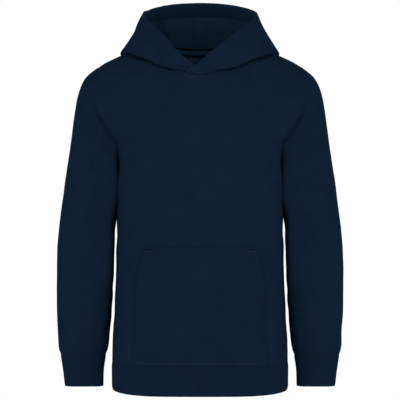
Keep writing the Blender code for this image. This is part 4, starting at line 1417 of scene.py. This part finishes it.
# The cut of what shows of each piece, all round on a tube: the piece, its node, its width, length
# and area, how it is held and what it rests on.
SHEETS = (
    ("front_panel", "body_front", 0.330, 0.400, 0.114, "hung", ("back_panel",)),
    ("back_panel", "body_back", 0.325, 0.405, 0.115, "hung", ("front_panel",)),
    ("hem_rib", "hem_band", 0.640, 0.038, 0.0243, "stretched", PANELS),
    ("left_sleeve", "sleeve_left", 0.300, 0.330, 0.069, "hung", PANELS),
    ("right_sleeve", "sleeve_right", 0.300, 0.330, 0.069, "hung", PANELS),
    ("left_cuff", "cuff_left", 0.172, 0.040, 0.0068, "stretched", ("left_sleeve",)),
    ("right_cuff", "cuff_right", 0.172, 0.040, 0.0068, "stretched", ("right_sleeve",)),
    ("pouch_pocket", "kangaroo_pocket", 0.170, 0.145, 0.0228, "laid", ("front_panel",)),
    ("left_hood", "hood_left", 0.260, 0.235, 0.0375, "folded", PANELS),
    ("right_hood", "hood_right", 0.260, 0.235, 0.0375, "folded", PANELS),
    ("back_neck_tape", "neck_tape", 0.175, 0.010, 0.00175, "laid", ("back_panel",)),
)
SIDES = (("left", 1), ("right", -1))


def make_garment():
    """Every piece and its stitches, each attached to the body that it rides."""
    face = knit_face("navy_fleece_face", NAVY_COLOURS)
    back = brushed_back("navy_fleece_brushed_back", NAP_COLOURS)
    # The brushed back painted lighter for the body, sleeves and pocket: painted light in their
    # shaded inside.
    inside = brushed_back("navy_fleece_inside_painted_light", INSIDE_PAINTED_LIGHT_COLOURS)
    # The turned hem inside the hood: the knit face, painted lighter as painted light for the hood's
    # shaded inside.
    hem = knit_face("navy_fleece_turned_hem_painted_light", HEM_COLOURS)
    rib = knit_face("navy_rib_knit", NAVY_COLOURS, RIB_WALE, RIB_COURSE)
    tape = twill_tape("navy_twill_tape")
    trees = [stitch_tree(name, sewing_thread(thread, colours)) for name, thread, colours in THREADS]
    finishes = {
        "tape": (tape, tape), "cuff": (rib, rib), "rib": (rib, rib), "hood": (face, back, hem)
    }
    shells = make_shells()
    pieces = {}
    for name, node, *_ in SHEETS:
        kind = name.split("_")[-1]
        hem_rows = HOOD_HEM_ROWS + ROUND_STEPS if kind == "hood" else 0
        around = kind in ("sleeve", "cuff", "rib")
        # Pieces without finishes of their own: the knit face outside and, inside, the brushed back
        # painted lighter, painted light.
        shown = finishes.get(kind, (face, inside))
        pieces[name] = cloth(name, *shells[name], around, shown, hem_rows)
        declare(pieces[name])
        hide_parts(node)
    sewn = make_stitches(shells, *trees)
    for side, _ in SIDES:
        edge = allowance(*shells[side + "_hood"], "right", -HOOD_HEM_ROWS - ROUND_STEPS - 1)
        sewn["hood_" + side].append(cloth(side + "_hood_seam_edge", *edge, False, (back, back)))
    for node, parts in sewn.items():
        for part in parts:
            declare(part)


def declare(piece):
    """Attaches a piece to the root body that it rides."""
    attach(piece, "root")


def make_shells():
    """The faces of every cloth, laid from the inside out."""
    shells = {"hem_rib": hem_shell()}
    shells["back_neck_tape"] = tuple(finer(grid, TAPE_FINE) for grid in neck_tape())
    body = surface_of(body_panel(-1)[0], body_panel(1)[0], turned_over=(1,))
    hoods = {side: hood_shell("hood_" + side, out, body) for side, out in SIDES}
    hood = surface_of(*(shell[0] for shell in hoods.values()))
    shells["front_panel"] = body_shell("body_front", -1, hood)
    shells["back_panel"] = body_shell("body_back", 1, hood)
    body = surface_of(shells["front_panel"][0], shells["back_panel"][0], turned_over=(1,))
    for side, out in SIDES:
        shells[side + "_hood"] = hoods[side]
        shells[side + "_sleeve"] = sleeve_shell("sleeve_" + side, out, body)
        shells[side + "_cuff"] = cuff_shell(out)
    shells["pouch_pocket"] = pocket_shell(shells["front_panel"][0])
    return shells


def make_stitches(shells, plain, light, shade_edging):
    """The rows of stitches of each piece, a mesh of their own on the cloth that they hold."""
    pocket = shells["pouch_pocket"]
    rows = {}
    for side in ("front", "back"):
        rows["body_" + side] = [beside(*shells[side + "_panel"], "low", row) for row in BAND_ROWS]
    rows["body_front"] = [
        line[line[:, 0] * side > POCKET_FOOT_HALF + POCKET_CLEAR]
        for line in rows["body_front"] for side in (-1, 1)
    ]
    for side, _ in SIDES:
        arm, hood = shells[side + "_sleeve"], shells[side + "_hood"][::-1]
        rows["sleeve_" + side] = [beside(*arm, "low", row, around=True) for row in CUFF_ROWS]
        rows["hood_" + side] = [beside(*hood, "top", row) for row in HOOD_ROWS]
    rows["kangaroo_pocket"] = pocket_rows(pocket)
    sewn = {node: [stitched(node + "_stitches", lines, plain)] for node, lines in rows.items()}
    foot = [beside(*pocket, "low", row) for row in BAND_ROWS]
    tape = [beside(*shells["back_neck_tape"][::-1], edge, row) for edge, row in TAPE_ROWS]
    for node, name, lines, tree, sizes in (
        ("kangaroo_pocket", "tacks", pocket_tacks(pocket), plain, TACKS),
        # Corner tacks in the near-black thread: painted shade at the pocket's top corners.
        ("kangaroo_pocket", "corner_tacks", corner_tacks(pocket), shade_edging, CORNER_TACKS),
        # The pocket's foot stitches, in the thread with a painted highlight along the band's seam.
        ("kangaroo_pocket", "foot_stitches", foot, light, FOOT_STITCHES),
        # Overlock in the near-black thread: painted shade along the neck tape's edges.
        ("neck_tape", "stitches", tape, shade_edging, OVERLOCK),
    ):
        sewn.setdefault(node, []).append(stitched(node + "_" + name, lines, tree, **sizes))
    return sewn


def tack(line, axis, start, length):
    """A short part of a line, by one of its coordinates."""
    line = line[np.argsort(line[:, axis])]
    return points_at(np.linspace(start, start + length, TACK_POINTS), line[:, axis], line)


def pocket_tacks(shell):
    """The short dense tacks at the lower end of each pocket mouth."""
    start = BODY[POCKET_MOUTH_ROW][0] - TACK_LENGTH / 2
    lines = [beside(*shell, edge, TACK_FROM_EDGE) for edge in ("left", "right")]
    return [tack(line, 2, start, TACK_LENGTH) for line in lines]


def corner_tacks(shell):
    """The short dense tacks along the top of the pocket, at its two corners, in near-black thread:
    painted shade at the corners.
    """
    line = beside(*shell, "top", CORNER_TACK_BELOW)
    first = line[:, 0].min() + CORNER_TACK_FROM
    last = line[:, 0].max() - CORNER_TACK_FROM - CORNER_TACK_LENGTH
    return [tack(line, 0, start, CORNER_TACK_LENGTH) for start in (first, last)]


def pocket_rows(shell):
    """The stitch lines along the pocket's top, its sewn sides and its turned mouths."""
    outer = shell[0]
    sewn = outer[:, outer.shape[1] // 2, 2] < BODY[POCKET_MOUTH_ROW][0]
    lines = [beside(*shell, "top", row) for row in POCKET_ROWS]
    for edge in ("left", "right"):
        for rows, keep in ((POCKET_ROWS, sewn), (MOUTH_ROWS, ~sewn)):
            lines += [beside(*shell, edge, row, keep=keep) for row in rows]
    return lines


# ---------------------------------------------------------------- studio

CAMERA_AWAY = 2.5
CAMERA_Z = -0.1865
CAMERA_SIGHT = 100.0
VIEW_WIDTH = 0.4972
FILM = 36.0
FLOOR_Z = -0.62
FLOOR_SIZE = 3.0
AMBIENT = 0.34
FLOOR_COLOUR = (0.82, 0.82, 0.82, 1.0)
FLOOR_ROUGHNESS = 0.9
LIT_POINT = (0.0, 0.0, -0.15)
LIGHTS = (
    ("left_key", (-1.7, -2.35, 0.50), 1.5, 28.4),
    ("right_key", (1.65, -2.35, 0.50), 1.5, 27.4),
    ("middle_key", (0.0, -2.9, 0.35), 1.2, 6.8),
    ("left_fill", (-2.4, -0.6, 0.2), 1.4, 15.0),
    ("right_fill", (2.4, -0.6, 0.2), 1.4, 15.0),
    ("back_fill", (0.6, 2.8, 0.9), 1.8, 42.0),
)


def area_light(name, place, size, power):
    """A round soft light that faces the garment."""
    light = bpy.data.lights.new(name, "AREA")
    light.shape = "DISK"
    light.size = size
    light.energy = power
    holder = link(name, light)
    holder.location = place
    holder.rotation_euler = (Vector(LIT_POINT) - Vector(place)).to_track_quat("-Z", "Y").to_euler()


def studio():
    """The white backdrop, the lights, the camera and a pale floor."""
    scene = bpy.context.scene
    scene.view_settings.view_transform = "Standard"
    scene.world = bpy.data.worlds.new("studio")
    scene.world.use_nodes = True
    tree = scene.world.node_tree
    backdrop = tree.nodes["Background"]
    backdrop.inputs["Color"].default_value = (1.0, 1.0, 1.0, 1.0)
    seen = add_node(tree, "ShaderNodeLightPath").outputs["Is Camera Ray"]
    strengths = {"Value": seen, "To Min": AMBIENT, "To Max": 1.0}
    strength = add_node(tree, "ShaderNodeMapRange", strengths).outputs["Result"]
    tree.links.new(strength, backdrop.inputs["Strength"])
    for light in LIGHTS:
        area_light(*light)
    camera = bpy.data.cameras.new("camera")
    camera.sensor_width = FILM
    camera.lens = FILM * CAMERA_AWAY / VIEW_WIDTH
    camera.clip_end = CAMERA_SIGHT
    scene.camera = link("camera", camera)
    scene.camera.location = (0.0, -CAMERA_AWAY, CAMERA_Z)
    scene.camera.rotation_euler = (math.pi / 2, 0.0, 0.0)
    mesh = bpy.data.meshes.new("floor")
    half = FLOOR_SIZE / 2
    corners = [(x * half, y * half, FLOOR_Z) for x, y in ((-1, -1), (1, -1), (1, 1), (-1, 1))]
    mesh.from_pydata(corners, [], [(0, 1, 2, 3)])
    finish = Finish("pale_floor", Base_Color=FLOOR_COLOUR, Roughness=FLOOR_ROUGHNESS)
    mesh.materials.append(finish.material)
    link("floor", mesh)


make_garment()
studio()
